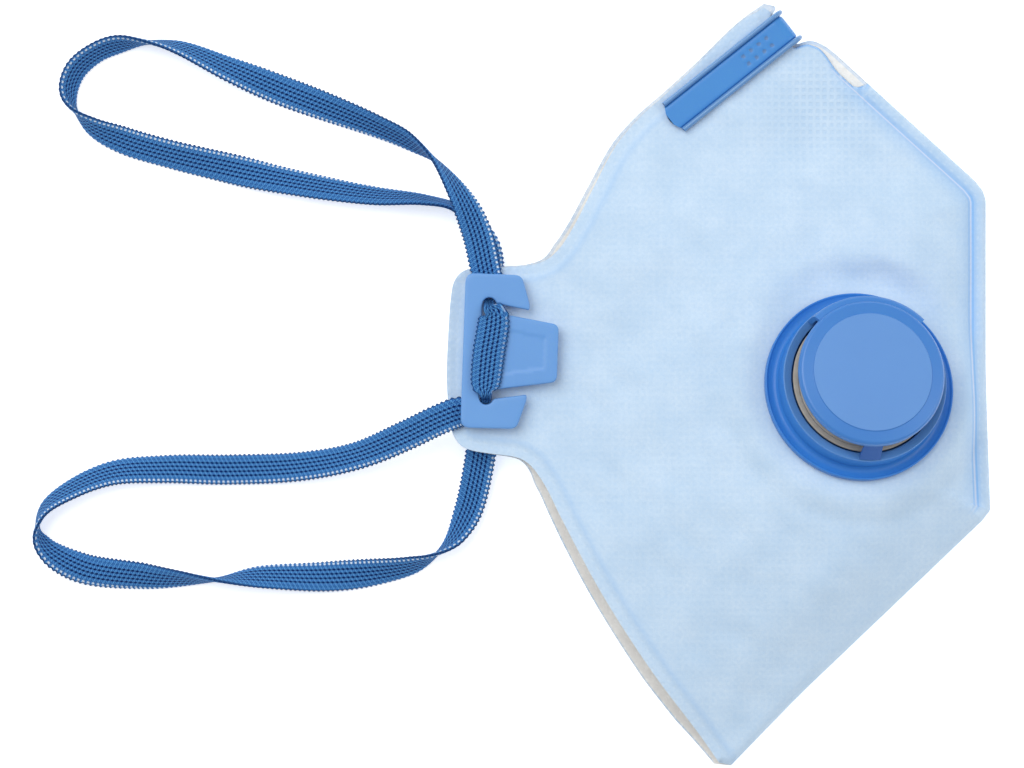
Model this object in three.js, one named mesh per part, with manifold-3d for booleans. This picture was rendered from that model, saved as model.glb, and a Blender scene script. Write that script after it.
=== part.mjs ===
// Valved anti-smog half mask, folded flat on its middle line and lying on its back half.
//
// Millimetres, +Z up. The mask rests on z = 0. +Y points to the nose end, -Y to the chin end,
// +X to the front of the nose and mouth, -X to the open face edge and the head straps.
// "front" is the half that faces up and carries the valve, "back" is the half underneath.

import * as THREE from "three";
import { mergeVertices } from "three/addons/utils/BufferGeometryUtils.js";
import Module from "manifold-3d";

const wasm = await Module();
wasm.setup();

// ---------------------------------------------------------------- driving dimensions

const GAP = 0.3; // clearance kept between neighbouring pieces
const CLOTH = 1.4; // wall of the filter laminate
const HAIR = 0.15; // half of the space between the two halves where they lie together

const STRAP = { width: 6, thickness: 1 };
const PLATE = 1.4; // thickness of the strap buckle
const UNDER_STRAP = STRAP.thickness + 2 * GAP; // room for the strap between buckle and cloth

const CHEEK_BACK = PLATE + UNDER_STRAP + GAP + STRAP.thickness + 0.35; // underside of back tab
const CHEEK_FRONT = CHEEK_BACK + 2 * CLOTH + 1; // top of the front tab
const NOSE_BACK = 2.2; // underside of the cloth over the lower leg of the nose clip
const NOSE_FRONT = 4.6; // top of the cloth under the upper leg of the nose clip

// Open edge that lies against the face, from nose to chin.
const FACE_EDGE = [
  { y: 76.3, x: 8.9 }, // nose tip
  { y: 71.3, x: 2.8 },
  { y: 64.5, x: -3.9 },
  { y: 57.9, x: -10.9 },
  { y: 53.3, x: -16.0 },
  { y: 47.9, x: -20.6 }, // cheek
  { y: 38.9, x: -25.4 },
  { y: 31.3, x: -29.3 },
  { y: 26.9, x: -32.2 },
  { y: 24.6, x: -35.0 }, // neck above the tab
  { y: 23.6, x: -38.9 },
  { y: 23.2, x: -47.3 }, // tab
  { y: 22.9, x: -50.3 },
  { y: 22.1, x: -51.8 },
  { y: 20.4, x: -53.0 },
  { y: 17.0, x: -53.6 },
  { y: 9.7, x: -54.1 },
  { y: 0.9, x: -54.4 },
  { y: -5.1, x: -54.0 },
  { y: -8.8, x: -53.5 },
  { y: -10.8, x: -52.7 },
  { y: -12.3, x: -51.4 },
  { y: -13.1, x: -49.4 },
  { y: -13.7, x: -45.9 },
  { y: -14.7, x: -39.9 }, // neck below the tab
  { y: -16.3, x: -37.6 },
  { y: -20.1, x: -34.9 },
  { y: -26.1, x: -31.9 },
  { y: -41.1, x: -23.9 }, // lower cheek
  { y: -56.7, x: -13.9 },
  { y: -70.1, x: -3.9 },
  { y: -76.3, x: 0.4 }, // chin tip
];

// Closed edge on the middle line: welded along the nose ridge and down the front, then a soft
// fold under the chin. mid and half are the height and half thickness of the edge, fin is the
// width of the welded margin, and inset is how far the inner space stays from it along X.
const FRONT_EDGE = [
  { y: 76.3, x: 10.5, mid: 3.4, half: 0.95, fin: 1.0, inset: 1.0 }, // nose tip
  { y: 75.4, x: 11.5, mid: 3.4, half: 0.95, fin: 1.5, inset: 1.6 },
  { y: 69.1, x: 16.9, mid: 3.4, half: 0.95, fin: 2.0, inset: 5.2 },
  { y: 68.9, x: 18.4, mid: 3.4, half: 0.95, fin: 3.0, inset: 5.4 }, // nose ridge
  { y: 68.1, x: 20.6, mid: 3.4, half: 1.0, fin: 3.0, inset: 4.8 },
  { y: 66.9, x: 22.5, mid: 3.4, half: 1.0, fin: 3.0, inset: 4.6 },
  { y: 40.9, x: 51.3, mid: 2.4, half: 1.0, fin: 3.0, inset: 4.6 },
  { y: 38.9, x: 52.9, mid: 2.4, half: 1.0, fin: 3.0, inset: 3.8 },
  { y: 37.0, x: 53.5, mid: 2.4, half: 1.0, fin: 3.0, inset: 3.4 }, // front
  { y: 1.0, x: 53.5, mid: 2.4, half: 1.0, fin: 3.0, inset: 3.4 },
  { y: -25.2, x: 54.4, mid: 2.6, half: 1.6, fin: 1.5, inset: 3.2 },
  { y: -27.4, x: 52.6, mid: 3.0, half: 2.6, fin: 0.0, inset: 3.0 }, // chin fold
  { y: -62.1, x: 16.2, mid: 3.2, half: 2.8, fin: 0.0, inset: 2.6 },
  { y: -76.3, x: 2.4, mid: 3.1, half: 2.2, fin: 0.0, inset: 1.0 }, // chin tip
];

// Heights of the outer cloth faces along the face edge. hold is the X up to which they stay,
// and beyond it the front half swells and the back half comes down to the floor. reach is how
// far the back half stands out beyond the front half at the face edge.
const FACE_HEIGHTS = [
  { y: 76.3, front: NOSE_FRONT, back: NOSE_BACK, hold: 40, reach: 0.2 },
  { y: 50.5, front: NOSE_FRONT, back: NOSE_BACK, hold: 40, reach: 0.8 },
  { y: 27.0, front: CHEEK_FRONT, back: CHEEK_BACK, hold: -27, reach: 1.4 },
  { y: 23.0, front: CHEEK_FRONT, back: CHEEK_BACK, hold: -27, reach: 0 },
  { y: -13.5, front: CHEEK_FRONT, back: CHEEK_BACK, hold: -27, reach: 0 },
  { y: -30.0, front: 9.3, back: 0.5, hold: -31, reach: 1.9 },
  { y: -58.0, front: 9.0, back: 0.3, hold: -20, reach: 1.9 },
  { y: -76.3, front: 5.4, back: 0.8, hold: 0, reach: 0.6 },
];
const BACK_RAMP = 14; // run over which the back half comes down to the floor
const ROW_STEP = 7.6; // widest spacing of the cloth sections

// Swell of the front half between the face edge and the middle line.
const DOME = { x: 14, y: -18, rx: 45, ry: 52, rise: 8.6 };
const FRONT_RISE_RUN = 17; // run over which the front half rises from the closed edge
const BACK_RISE_RUN = 9;

// Exhalation valve, on an axis that leans with the swollen cloth.
const VALVE = {
  x: 26.8, y: -0.7, z: 12.5, // centre of its seat on the cloth
  leanX: THREE.MathUtils.degToRad(7.7),
  leanY: THREE.MathUtils.degToRad(13.7),
  flangeR: 18.9,
  rimZ: 1.6,
  dishZ: 1.1,
  ringR: 16.3,
  ringZ: 6.6,
  ringInnerR: 14.6,
  seatR: 12,
  seatZ: 5.3,
  membraneR: 14.3,
  membraneT: 0.5,
  capR: 14.45,
  wallR: 16.1, // the cap's side wall, which stands a little outside its lid
  discR: 11.7,
  capZ: 13.2,
  skirtZ: 10.9,
  segments: 44,
};
const VALVE_HOLE_R = 7.5; // hole in the cloth under the valve
const SEAT_FLAT_R = VALVE.flangeR + 2.4; // cloth that is pulled flat by the flange
const SEAT_BLEND_R = VALVE.flangeR + 9;

// Nose clip: a plastic strip with a wire rib along each side, folded over the ridge.
const CLIP = { x: -9.2, y: 53.4, angle: 38.5, length: 30.4, width: 7.4, band: 0.7, rib: 1.5 };
const CLIP_NOTCH = 27.5; // the cloth ends here along the strip, inside the fold

// Strap buckle: an E-shaped plate whose middle tongue is welded to the tab.
const BUCKLE = {
  x: -51.2, y: 6.8, angle: -2, // middle of its left side
  halfHeight: 15.35,
  armTopX: 11.1,
  armTipX: 12.9,
  armTipY: 8.35,
  slitTopY: 9.4,
  slitBottomY: 7.6,
  eyeX: 4.9,
  eyeR: 1.4,
  eyeTopY: 9.2,
  eyeFootY: 6.6,
  tongueX: 18.8,
  tongueHalf: 5.7,
  corner: 0.9,
};
const TONGUE_PAD = { left: 9.5, right: 16.3, leftHalf: 4.3, rightHalf: 3.1, depth: 0.2 };

// ---------------------------------------------------------------- small helpers

const clamp01 = (value) => Math.min(1, Math.max(0, value));
const lerp = THREE.MathUtils.lerp;

function smooth(from, to, value) {
  const t = clamp01((value - from) / (to - from));
  return t * t * (3 - 2 * t);
}

// Straight interpolation in a table whose rows fall in y from first to last.
function rowAt(table, y, ease = (t) => t) {
  let index = 0;
  while (index < table.length - 2 && table[index + 1].y > y) index += 1;
  const upper = table[index];
  const lower = table[index + 1];
  const t = ease(clamp01((upper.y - y) / (upper.y - lower.y)));
  const row = {};
  for (const key of Object.keys(upper)) row[key] = lerp(upper[key], lower[key], t);
  return row;
}

// Closest point of the closed edge, with its values worked out between two rows of the table.
function nearestFrontEdge(x, y) {
  let best = { distance: Infinity };
  for (let i = 0; i < FRONT_EDGE.length - 1; i += 1) {
    const a = FRONT_EDGE[i];
    const b = FRONT_EDGE[i + 1];
    const run = (b.x - a.x) ** 2 + (b.y - a.y) ** 2;
    const t = clamp01(((x - a.x) * (b.x - a.x) + (y - a.y) * (b.y - a.y)) / run);
    const distance = Math.hypot(x - lerp(a.x, b.x, t), y - lerp(a.y, b.y, t));
    if (distance < best.distance) {
      best = {
        distance,
        mid: lerp(a.mid, b.mid, t),
        half: lerp(a.half, b.half, t),
        fin: lerp(a.fin, b.fin, t),
      };
    }
  }
  return best;
}

function signedVolume(position, index) {
  const [a, b, c] = [new THREE.Vector3(), new THREE.Vector3(), new THREE.Vector3()];
  let volume = 0;
  for (let i = 0; i < index.length; i += 3) {
    a.fromArray(position, 3 * index[i]);
    b.fromArray(position, 3 * index[i + 1]);
    c.fromArray(position, 3 * index[i + 2]);
    volume += a.dot(b.cross(c)) / 6;
  }
  return volume;
}

// Triangles that close a planar loop of points, turned like the loop itself.
function capTriangles(loop) {
  const normal = new THREE.Vector3();
  loop.forEach((p, i) => normal.add(new THREE.Vector3().crossVectors(p, loop[(i + 1) % loop.length])));
  normal.normalize();
  const helper = Math.abs(normal.z) < 0.9 ? new THREE.Vector3(0, 0, 1) : new THREE.Vector3(1, 0, 0);
  const across = new THREE.Vector3().crossVectors(helper, normal).normalize();
  const up = new THREE.Vector3().crossVectors(normal, across);
  const flat = loop.map((p) => new THREE.Vector2(p.dot(across), p.dot(up)));
  return THREE.ShapeUtils.triangulateShape(flat, []).map(([i, j, k]) => {
    const area = (flat[j].x - flat[i].x) * (flat[k].y - flat[i].y)
      - (flat[k].x - flat[i].x) * (flat[j].y - flat[i].y);
    return area > 0 ? [i, j, k] : [i, k, j];
  });
}

// The same for the section of a wall, whose loop runs out along one face and back along the other.
function wallCapTriangles(loop) {
  const triangles = [];
  for (let i = 0; i < loop.length / 2 - 1; i += 1) {
    const back = loop.length - 1 - i;
    triangles.push([i, i + 1, back - 1], [i, back - 1, back]);
  }
  return triangles;
}

// Closed solid through a row of sections, each a loop with the same number of points.
function loft(sections, close = capTriangles) {
  const count = sections[0].length;
  const position = sections.flat().flatMap((p) => [p.x, p.y, p.z]);
  const index = [];
  for (let s = 0; s < sections.length - 1; s += 1) {
    for (let i = 0; i < count; i += 1) {
      const j = (i + 1) % count;
      const [a, b, c, d] = [s * count + i, s * count + j, (s + 1) * count + j, (s + 1) * count + i];
      index.push(a, b, c, a, c, d);
    }
  }
  const last = (sections.length - 1) * count;
  for (const [i, j, k] of close(sections[0])) index.push(k, j, i);
  for (const [i, j, k] of close(sections.at(-1))) index.push(last + i, last + j, last + k);
  if (signedVolume(position, index) < 0) index.reverse();
  const geometry = new THREE.BufferGeometry();
  geometry.setAttribute("position", new THREE.Float32BufferAttribute(position, 3));
  geometry.setIndex(index);
  return geometry;
}

function toSolid(geometry) {
  const bare = geometry.clone();
  bare.deleteAttribute("normal");
  bare.deleteAttribute("uv");
  const merged = mergeVertices(bare, 1e-4);
  const vertProperties = new Float32Array(merged.attributes.position.array);
  const triVerts = new Uint32Array(merged.index.array);
  return new wasm.Manifold(new wasm.Mesh({ numProp: 3, vertProperties, triVerts }));
}

function toGeometry(solid) {
  const mesh = solid.getMesh();
  const geometry = new THREE.BufferGeometry();
  geometry.setAttribute("position", new THREE.BufferAttribute(mesh.vertProperties, 3));
  geometry.setIndex(new THREE.BufferAttribute(mesh.triVerts, 1));
  return geometry;
}

function join(...geometries) {
  return toGeometry(geometries.map(toSolid).reduce((sum, solid) => sum.add(solid)));
}

function cut(geometry, ...tools) {
  return toGeometry(tools.map(toSolid).reduce((rest, tool) => rest.subtract(tool), toSolid(geometry)));
}

function piece(name, geometry, look) {
  const mesh = new THREE.Mesh(geometry, new THREE.MeshStandardMaterial(look));
  mesh.name = name;
  return mesh;
}

// ---------------------------------------------------------------- looks

const CLOTH_LOOK = { color: 0xbcdcf4, roughness: 0.9, metalness: 0 };
const FLANGE_LOOK = { color: 0x3f78c8, roughness: 0.4, metalness: 0 };
const CAP_LOOK = { color: 0x5a90d6, roughness: 0.45, metalness: 0 };
const MEMBRANE_LOOK = { color: 0xa09a90, roughness: 0.6, metalness: 0 };
const CLIP_LOOK = { color: 0x5e98dc, roughness: 0.35, metalness: 0 };
const BUCKLE_LOOK = { color: 0x70a0dc, roughness: 0.45, metalness: 0 };
const STRAP_LOOK = { color: 0x2f6cb8, roughness: 0.85, metalness: 0 };

// ---------------------------------------------------------------- facepiece

const valveAxis = new THREE.Vector3(Math.tan(VALVE.leanX), Math.tan(VALVE.leanY), 1).normalize();
const valveSeat = new THREE.Vector3(VALVE.x, VALVE.y, VALVE.z);

// Height of the plane that the valve flange holds flat.
function seatPlane(x, y) {
  return VALVE.z - ((x - VALVE.x) * valveAxis.x + (y - VALVE.y) * valveAxis.y) / valveAxis.z;
}

function frontHeight(x, y) {
  const face = rowAt(FACE_HEIGHTS, y, (t) => smooth(0, 1, t));
  const rho = ((x - DOME.x) / DOME.rx) ** 2 + ((y - DOME.y) / DOME.ry) ** 2;
  const free = face.front + DOME.rise * (1 - Math.min(rho, 1)) ** 2;
  const edge = nearestFrontEdge(x, y);
  const round = edge.half * Math.sqrt(1 - (1 - clamp01(edge.distance / edge.half)) ** 2);
  const rise = 1 - (1 - clamp01((edge.distance - edge.fin) / FRONT_RISE_RUN)) ** 2;
  const swollen = edge.mid + round + (free - edge.mid - edge.half) * rise;
  const planeZ = seatPlane(x, y);
  const fromAxis = new THREE.Vector3(x, y, planeZ).distanceTo(valveSeat);
  return lerp(planeZ, swollen, smooth(SEAT_FLAT_R, SEAT_BLEND_R, fromAxis));
}

function backHeight(x, y) {
  const face = rowAt(FACE_HEIGHTS, y, (t) => smooth(0, 1, t));
  const lifted = face.back * (1 - smooth(face.hold, face.hold + BACK_RAMP, x));
  const edge = nearestFrontEdge(x, y);
  const round = edge.half * Math.sqrt(1 - (1 - clamp01(edge.distance / edge.half)) ** 2);
  const rise = 1 - (1 - clamp01((edge.distance - edge.fin) / BACK_RISE_RUN)) ** 2;
  return edge.mid - round + (lifted - edge.mid + edge.half) * rise;
}

// One section across the mask: a flat tube that is open at the face edge, as a loop of points.
const SPREAD = [0, 0.03, 0.09, 0.18, 0.28, 0.38, 0.48, 0.57, 0.66, 0.74, 0.81, 0.87, 0.92, 0.955, 0.98, 1];
const SPREAD_BACK = [0, 0.05, 0.14, 0.24, 0.36, 0.52, 0.68, 0.8, 0.88, 0.94, 0.98, 1];

function clothSection(y) {
  const faceX = rowAt(FACE_EDGE, y).x;
  const edge = rowAt(FRONT_EDGE, y);
  const { reach } = rowAt(FACE_HEIGHTS, y);
  const innerX = edge.x - Math.min(edge.inset, 0.5 * (edge.x - faceX));
  const inside = (x) => {
    const [top, bottom] = [frontHeight(x, y), backHeight(x, y)];
    return { middle: (top + bottom) / 2, half: Math.max(HAIR, (top - bottom) / 2 - CLOTH) };
  };
  const loop = [];
  const add = (x, z) => loop.push(new THREE.Vector3(x, y, z));
  SPREAD.forEach((s) => add(lerp(faceX, edge.x, s), frontHeight(lerp(faceX, edge.x, s), y)));
  SPREAD_BACK.slice(0, -1).reverse().forEach((s) => {
    const x = lerp(faceX - reach, edge.x, s);
    add(x, backHeight(x, y));
  });
  SPREAD_BACK.slice(0, -1).forEach((s) => {
    const x = lerp(faceX - reach, innerX, s);
    add(x, inside(x).middle - inside(x).half);
  });
  add(innerX, inside(innerX).middle);
  SPREAD.slice(0, -1).reverse().forEach((s) => {
    const x = lerp(faceX, innerX, s);
    add(x, inside(x).middle + inside(x).half);
  });
  return loop;
}

// Heights along Y at which the cloth is cut into sections: every row of the edge tables, and
// as many between two of them as the widest spacing asks for.
function sectionHeights() {
  const named = [...FACE_EDGE, ...FRONT_EDGE].map((row) => row.y).sort((a, b) => b - a);
  const heights = [named[0]];
  for (const y of named) {
    const last = heights.at(-1);
    if (last - y < 0.45) continue;
    const parts = Math.ceil((last - y) / ROW_STEP);
    for (let i = 1; i <= parts; i += 1) heights.push(lerp(last, y, i / parts));
  }
  return heights;
}

function placeOnValveAxis(object, lift = GAP) {
  object.quaternion.setFromUnitVectors(new THREE.Vector3(0, 0, 1), valveAxis);
  object.position.copy(valveSeat).addScaledVector(valveAxis, lift);
  object.updateMatrix();
  return object;
}

// Room for the fold of the nose clip, which bites into the ridge.
function clipNotch() {
  const notch = new THREE.BoxGeometry(12, CLIP.width + 2 * GAP, 12);
  notch.translate(CLIP_NOTCH + 6, 0, 3);
  notch.rotateZ(THREE.MathUtils.degToRad(CLIP.angle));
  return notch.translate(CLIP.x, CLIP.y, 0);
}

function facepiece() {
  const cloth = loft(sectionHeights().map(clothSection), wallCapTriangles);
  const drill = new THREE.CylinderGeometry(VALVE_HOLE_R, VALVE_HOLE_R, 5 * CLOTH, 24);
  drill.rotateX(Math.PI / 2);
  drill.applyMatrix4(placeOnValveAxis(new THREE.Object3D(), 0).matrix);
  return piece("facepiece", cut(cloth, drill, clipNotch()), CLOTH_LOOK);
}

// ---------------------------------------------------------------- valve, about its own axis

function lathe(profile, segments = VALVE.segments) {
  const points = profile.map(([r, z]) => new THREE.Vector2(r, z));
  return new THREE.LatheGeometry(points, segments).rotateX(Math.PI / 2);
}

function valveBase() {
  const v = VALVE;
  const inner = v.ringInnerR;
  const body = lathe([
    [9, 0], [v.flangeR - 0.1, 0], [v.flangeR, 0.4], [v.flangeR, v.rimZ - 0.3], [v.flangeR - 0.3, v.rimZ],
    [v.flangeR - 0.8, v.rimZ - 0.2], [v.ringR + 1.2, v.dishZ], [v.ringR + 0.1, v.dishZ + 0.5],
    [v.ringR, v.ringZ - 0.3], [v.ringR - 0.25, v.ringZ],
    [inner, v.ringZ - 0.8], [inner, 2.2],
    [v.seatR + 0.6, 2.2], [v.seatR + 0.4, v.seatZ], [v.seatR - 0.4, v.seatZ], [v.seatR - 0.7, 1.2],
    [9, 1.2], [9, 0],
  ]);
  const hub = lathe([[0, 3], [2.2, 3], [2.2, v.seatZ], [0.9, v.seatZ], [0.9, 7.2], [0, 7.2]], 12);
  const spokes = [0, 1, 2, 3].map((i) => {
    const spoke = new THREE.BoxGeometry(v.seatR - 1.2, 1.3, 1.9);
    spoke.translate((v.seatR + 0.8) / 2, 0, 4);
    return spoke.rotateZ((i + 0.5) * Math.PI / 2);
  });
  return placeOnValveAxis(piece("valve_base", join(body, hub, ...spokes), FLANGE_LOOK));
}

function valveMembrane() {
  const low = VALVE.seatZ + GAP;
  const high = low + VALVE.membraneT;
  const outer = VALVE.membraneR;
  const disc = lathe([[1.25, low], [outer, low], [outer, high], [1.25, high], [1.25, low]]);
  return placeOnValveAxis(piece("valve_membrane", disc, MEMBRANE_LOOK));
}

// Part of the cap between two bearings that reaches from the lid down to the ring of the base.
function capWall(profile, fromDegrees, toDegrees, steps) {
  const sections = [];
  for (let i = 0; i <= steps; i += 1) {
    const bearing = THREE.MathUtils.degToRad(lerp(fromDegrees, toDegrees, i / steps));
    const [c, s] = [Math.cos(bearing), Math.sin(bearing)];
    sections.push(profile.map(([r, z]) => new THREE.Vector3(r * c, r * s, z)));
  }
  return loft(sections);
}

function valveCap() {
  const v = VALVE;
  const lid = lathe([
    [0, v.skirtZ + 0.4], [v.capR - 1.3, v.skirtZ + 0.4], [v.capR - 1.2, v.skirtZ],
    [v.capR - 0.2, v.skirtZ], [v.capR, v.skirtZ + 0.3], [v.capR, v.capZ - 0.9],
    [v.capR - 0.4, v.capZ - 0.35], [v.discR + 0.1, v.capZ - 0.2], [v.discR, v.capZ], [0, v.capZ],
  ]);
  const foot = v.ringZ + GAP;
  const wall = capWall([
    [v.capR - 0.9, v.skirtZ + 0.6], [v.capR - 0.3, v.skirtZ + 1.1], [v.wallR - 0.8, v.skirtZ + 1.0],
    [v.wallR - 0.2, v.skirtZ + 0.3], [v.wallR, foot], [v.ringR - 1.25, foot],
    [v.ringR - 1.4, v.skirtZ - 0.2],
  ], 45, 134, 12);
  const post = capWall([
    [v.capR - 0.9, v.skirtZ + 0.7], [v.capR - 0.4, v.skirtZ + 0.7],
    [v.ringR - 0.15, foot], [v.ringR - 1.25, foot],
  ], 262, 280, 3);
  return placeOnValveAxis(piece("valve_cap", join(lid, wall, post), CAP_LOOK));
}

// ---------------------------------------------------------------- nose clip

// Section of the strip as [across, above the cloth]: a thin band with a rib along each side.
function clipSection() {
  const { band, rib } = CLIP;
  const side = CLIP.width / 2;
  const half = [
    [side, 0], [side, 0.6 * rib], [side - 0.2, 0.92 * rib], [side - 0.5, rib],
    [side - 0.85, 0.85 * rib], [side - 1.05, band],
  ];
  return [...half, ...half.map(([across, above]) => [-across, above]).reverse()];
}

function noseClip() {
  const lowerFace = NOSE_BACK - GAP;
  const upperFace = NOSE_FRONT + GAP;
  const bendR = (upperFace - lowerFace) / 2;
  const bendX = CLIP.length - bendR - CLIP.rib;
  const middle = (upperFace + lowerFace) / 2;
  const route = []; // x, z and the direction out of the fold, all in the plane of the strip
  const legSteps = 3;
  for (let i = 0; i <= legSteps; i += 1) route.push([bendX * (i / legSteps), upperFace, 90]);
  for (let turn = 60; turn > -90; turn -= 30) {
    const angle = THREE.MathUtils.degToRad(turn);
    route.push([bendX + bendR * Math.cos(angle), middle + bendR * Math.sin(angle), turn]);
  }
  for (let i = legSteps; i >= 0; i -= 1) route.push([bendX * (i / legSteps), lowerFace, -90]);
  const sections = route.map(([x, z, turn]) => {
    const angle = THREE.MathUtils.degToRad(turn);
    return clipSection().map(([across, above]) => new THREE.Vector3(
      x + above * Math.cos(angle), across, z + above * Math.sin(angle)));
  });
  const clip = piece("nose_clip", loft(sections), CLIP_LOOK);
  clip.position.set(CLIP.x, CLIP.y, 0);
  clip.rotation.z = THREE.MathUtils.degToRad(CLIP.angle);
  return clip;
}

// ---------------------------------------------------------------- buckles

// Right-hand side of the plate from its top left corner down to the middle of the tongue.
function buckleOutline() {
  const b = BUCKLE;
  const upper = [
    [0.9, b.halfHeight], [b.armTopX, b.halfHeight - 0.1], [b.armTipX, b.armTipY + 1],
    [b.armTipX, b.armTipY], [b.eyeX + b.eyeR + 0.15, b.slitTopY],
  ];
  for (let turn = 0; turn <= 180; turn += 30) {
    const angle = THREE.MathUtils.degToRad(turn);
    upper.push([b.eyeX + b.eyeR * Math.cos(angle), b.eyeTopY + b.eyeR * Math.sin(angle)]);
  }
  upper.push(
    [b.eyeX - b.eyeR, b.eyeFootY], [b.eyeX - b.eyeR / 2, b.eyeFootY - 0.5],
    [b.eyeX + b.eyeR / 2, b.eyeFootY - 0.5], [b.eyeX + b.eyeR, b.eyeFootY],
    [b.eyeX + b.eyeR + 0.3, b.slitBottomY], [b.tongueX - b.corner, b.tongueHalf],
    [b.tongueX, b.tongueHalf - b.corner],
  );
  const lower = upper.map(([x, y]) => [x, -y]).reverse();
  const left = [[0, -b.halfHeight + 1], [0, b.halfHeight - 1]];
  return [...upper, ...lower, ...left];
}

function trapezoid(left, right, leftHalf, rightHalf, depth, z) {
  const shape = new THREE.Shape([
    new THREE.Vector2(left, leftHalf), new THREE.Vector2(left, -leftHalf),
    new THREE.Vector2(right, -rightHalf), new THREE.Vector2(right, rightHalf),
  ]);
  return new THREE.ExtrudeGeometry(shape, { depth, bevelEnabled: false }).translate(0, 0, z);
}

// The plate lies above its own z = 0, on a foot that is welded to the cloth at UNDER_STRAP below.
function buckleGeometry() {
  const outline = new THREE.Shape(buckleOutline().map(([x, y]) => new THREE.Vector2(x, y)));
  const plate = new THREE.ExtrudeGeometry(outline, { depth: PLATE, bevelEnabled: false });
  const pad = TONGUE_PAD;
  const foot = trapezoid(pad.left, pad.right, pad.leftHalf, pad.rightHalf,
    UNDER_STRAP - GAP + 0.2, GAP - UNDER_STRAP);
  const recess = trapezoid(pad.left, pad.right, pad.leftHalf, pad.rightHalf, 1, PLATE - pad.depth);
  return cut(join(plate, foot), recess);
}

function placeBuckle(object, z, upsideDown) {
  const group = new THREE.Group();
  group.add(object);
  group.position.set(BUCKLE.x, BUCKLE.y, z);
  group.rotation.z = THREE.MathUtils.degToRad(BUCKLE.angle);
  if (upsideDown) object.rotation.x = Math.PI;
  return group;
}

const FRONT_PLATE_Z = CHEEK_FRONT + UNDER_STRAP;
const BACK_PLATE_Z = CHEEK_BACK - UNDER_STRAP;

// ---------------------------------------------------------------- straps

const UNDER_FRONT_PLATE = CHEEK_FRONT + GAP; // lower side of the strap on the front tab
const UNDER_BACK_TAB = CHEEK_BACK - GAP - STRAP.thickness; // and under the back tab
const ON_FLOOR = 0.1;

// Routes of the two head loops, from the front buckle round to the back one. base is the height
// of the strap's lower side, and roll turns it about its own line: 0 and 180 lie flat, 90 and
// 270 stand on edge.
const UPPER_ROUTE = [
  { x: -45.9, y: 17.8, base: UNDER_FRONT_PLATE, roll: 0, width: 2.4 }, // front buckle
  { x: -46.2, y: 20.0, base: UNDER_FRONT_PLATE, roll: 0, width: 5.6 },
  { x: -46.9, y: 23.6, base: UNDER_FRONT_PLATE, roll: 0, width: 6 },
  { x: -48.5, y: 30.2, base: 8.0, roll: 8, width: 6 },
  { x: -51.7, y: 37.4, base: 6.7, roll: 42, width: 6 },
  { x: -56.7, y: 44.6, base: 3.2, roll: 84, width: 6 },
  { x: -62.3, y: 48.8, base: 0.9, roll: 120, width: 6 },
  { x: -68.9, y: 51.9, base: 0.2, roll: 135, width: 6 },
  { x: -78.7, y: 55.7, base: ON_FLOOR, roll: 157, width: 6 },
  { x: -88.3, y: 59.3, base: ON_FLOOR, roll: 182, width: 6 },
  { x: -98.1, y: 63.2, base: ON_FLOOR, roll: 212, width: 6 },
  { x: -108.6, y: 67.6, base: ON_FLOOR, roll: 242, width: 6 },
  { x: -114.8, y: 68.6, base: ON_FLOOR, roll: 268, width: 6 },
  { x: -120.4, y: 68.2, base: ON_FLOOR, roll: 300, width: 6 },
  { x: -124.9, y: 66.5, base: ON_FLOOR, roll: 305, width: 6 }, // far end of the loop
  { x: -128.9, y: 63.1, base: ON_FLOOR, roll: 308, width: 6 },
  { x: -130.4, y: 58.9, base: ON_FLOOR, roll: 300, width: 6 },
  { x: -129.6, y: 55.7, base: ON_FLOOR, roll: 278, width: 6 },
  { x: -125.9, y: 52.0, base: ON_FLOOR, roll: 238, width: 6 },
  { x: -119.4, y: 49.0, base: ON_FLOOR, roll: 207, width: 6 },
  { x: -109.9, y: 46.2, base: ON_FLOOR, roll: 203, width: 6 },
  { x: -99.8, y: 43.8, base: ON_FLOOR, roll: 190, width: 6 },
  { x: -90.0, y: 41.5, base: ON_FLOOR, roll: 160, width: 6 },
  { x: -78.7, y: 39.3, base: ON_FLOOR, roll: 143, width: 6 },
  { x: -68.9, y: 37.8, base: ON_FLOOR, roll: 129, width: 6 },
  { x: -59.1, y: 37.0, base: ON_FLOOR, roll: 111, width: 6 },
  { x: -53.1, y: 35.6, base: ON_FLOOR, roll: 106, width: 6 },
  { x: -49.2, y: 32.4, base: 0.3, roll: 128, width: 6 },
  { x: -46.8, y: 28.0, base: 1.4, roll: 158, width: 6 },
  { x: -46.1, y: 23.6, base: UNDER_BACK_TAB, roll: 180, width: 6 },
  { x: -46.0, y: 20.0, base: UNDER_BACK_TAB, roll: 180, width: 5.6 },
  { x: -45.9, y: 17.8, base: UNDER_BACK_TAB, roll: 180, width: 2.4 }, // back buckle
];

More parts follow.
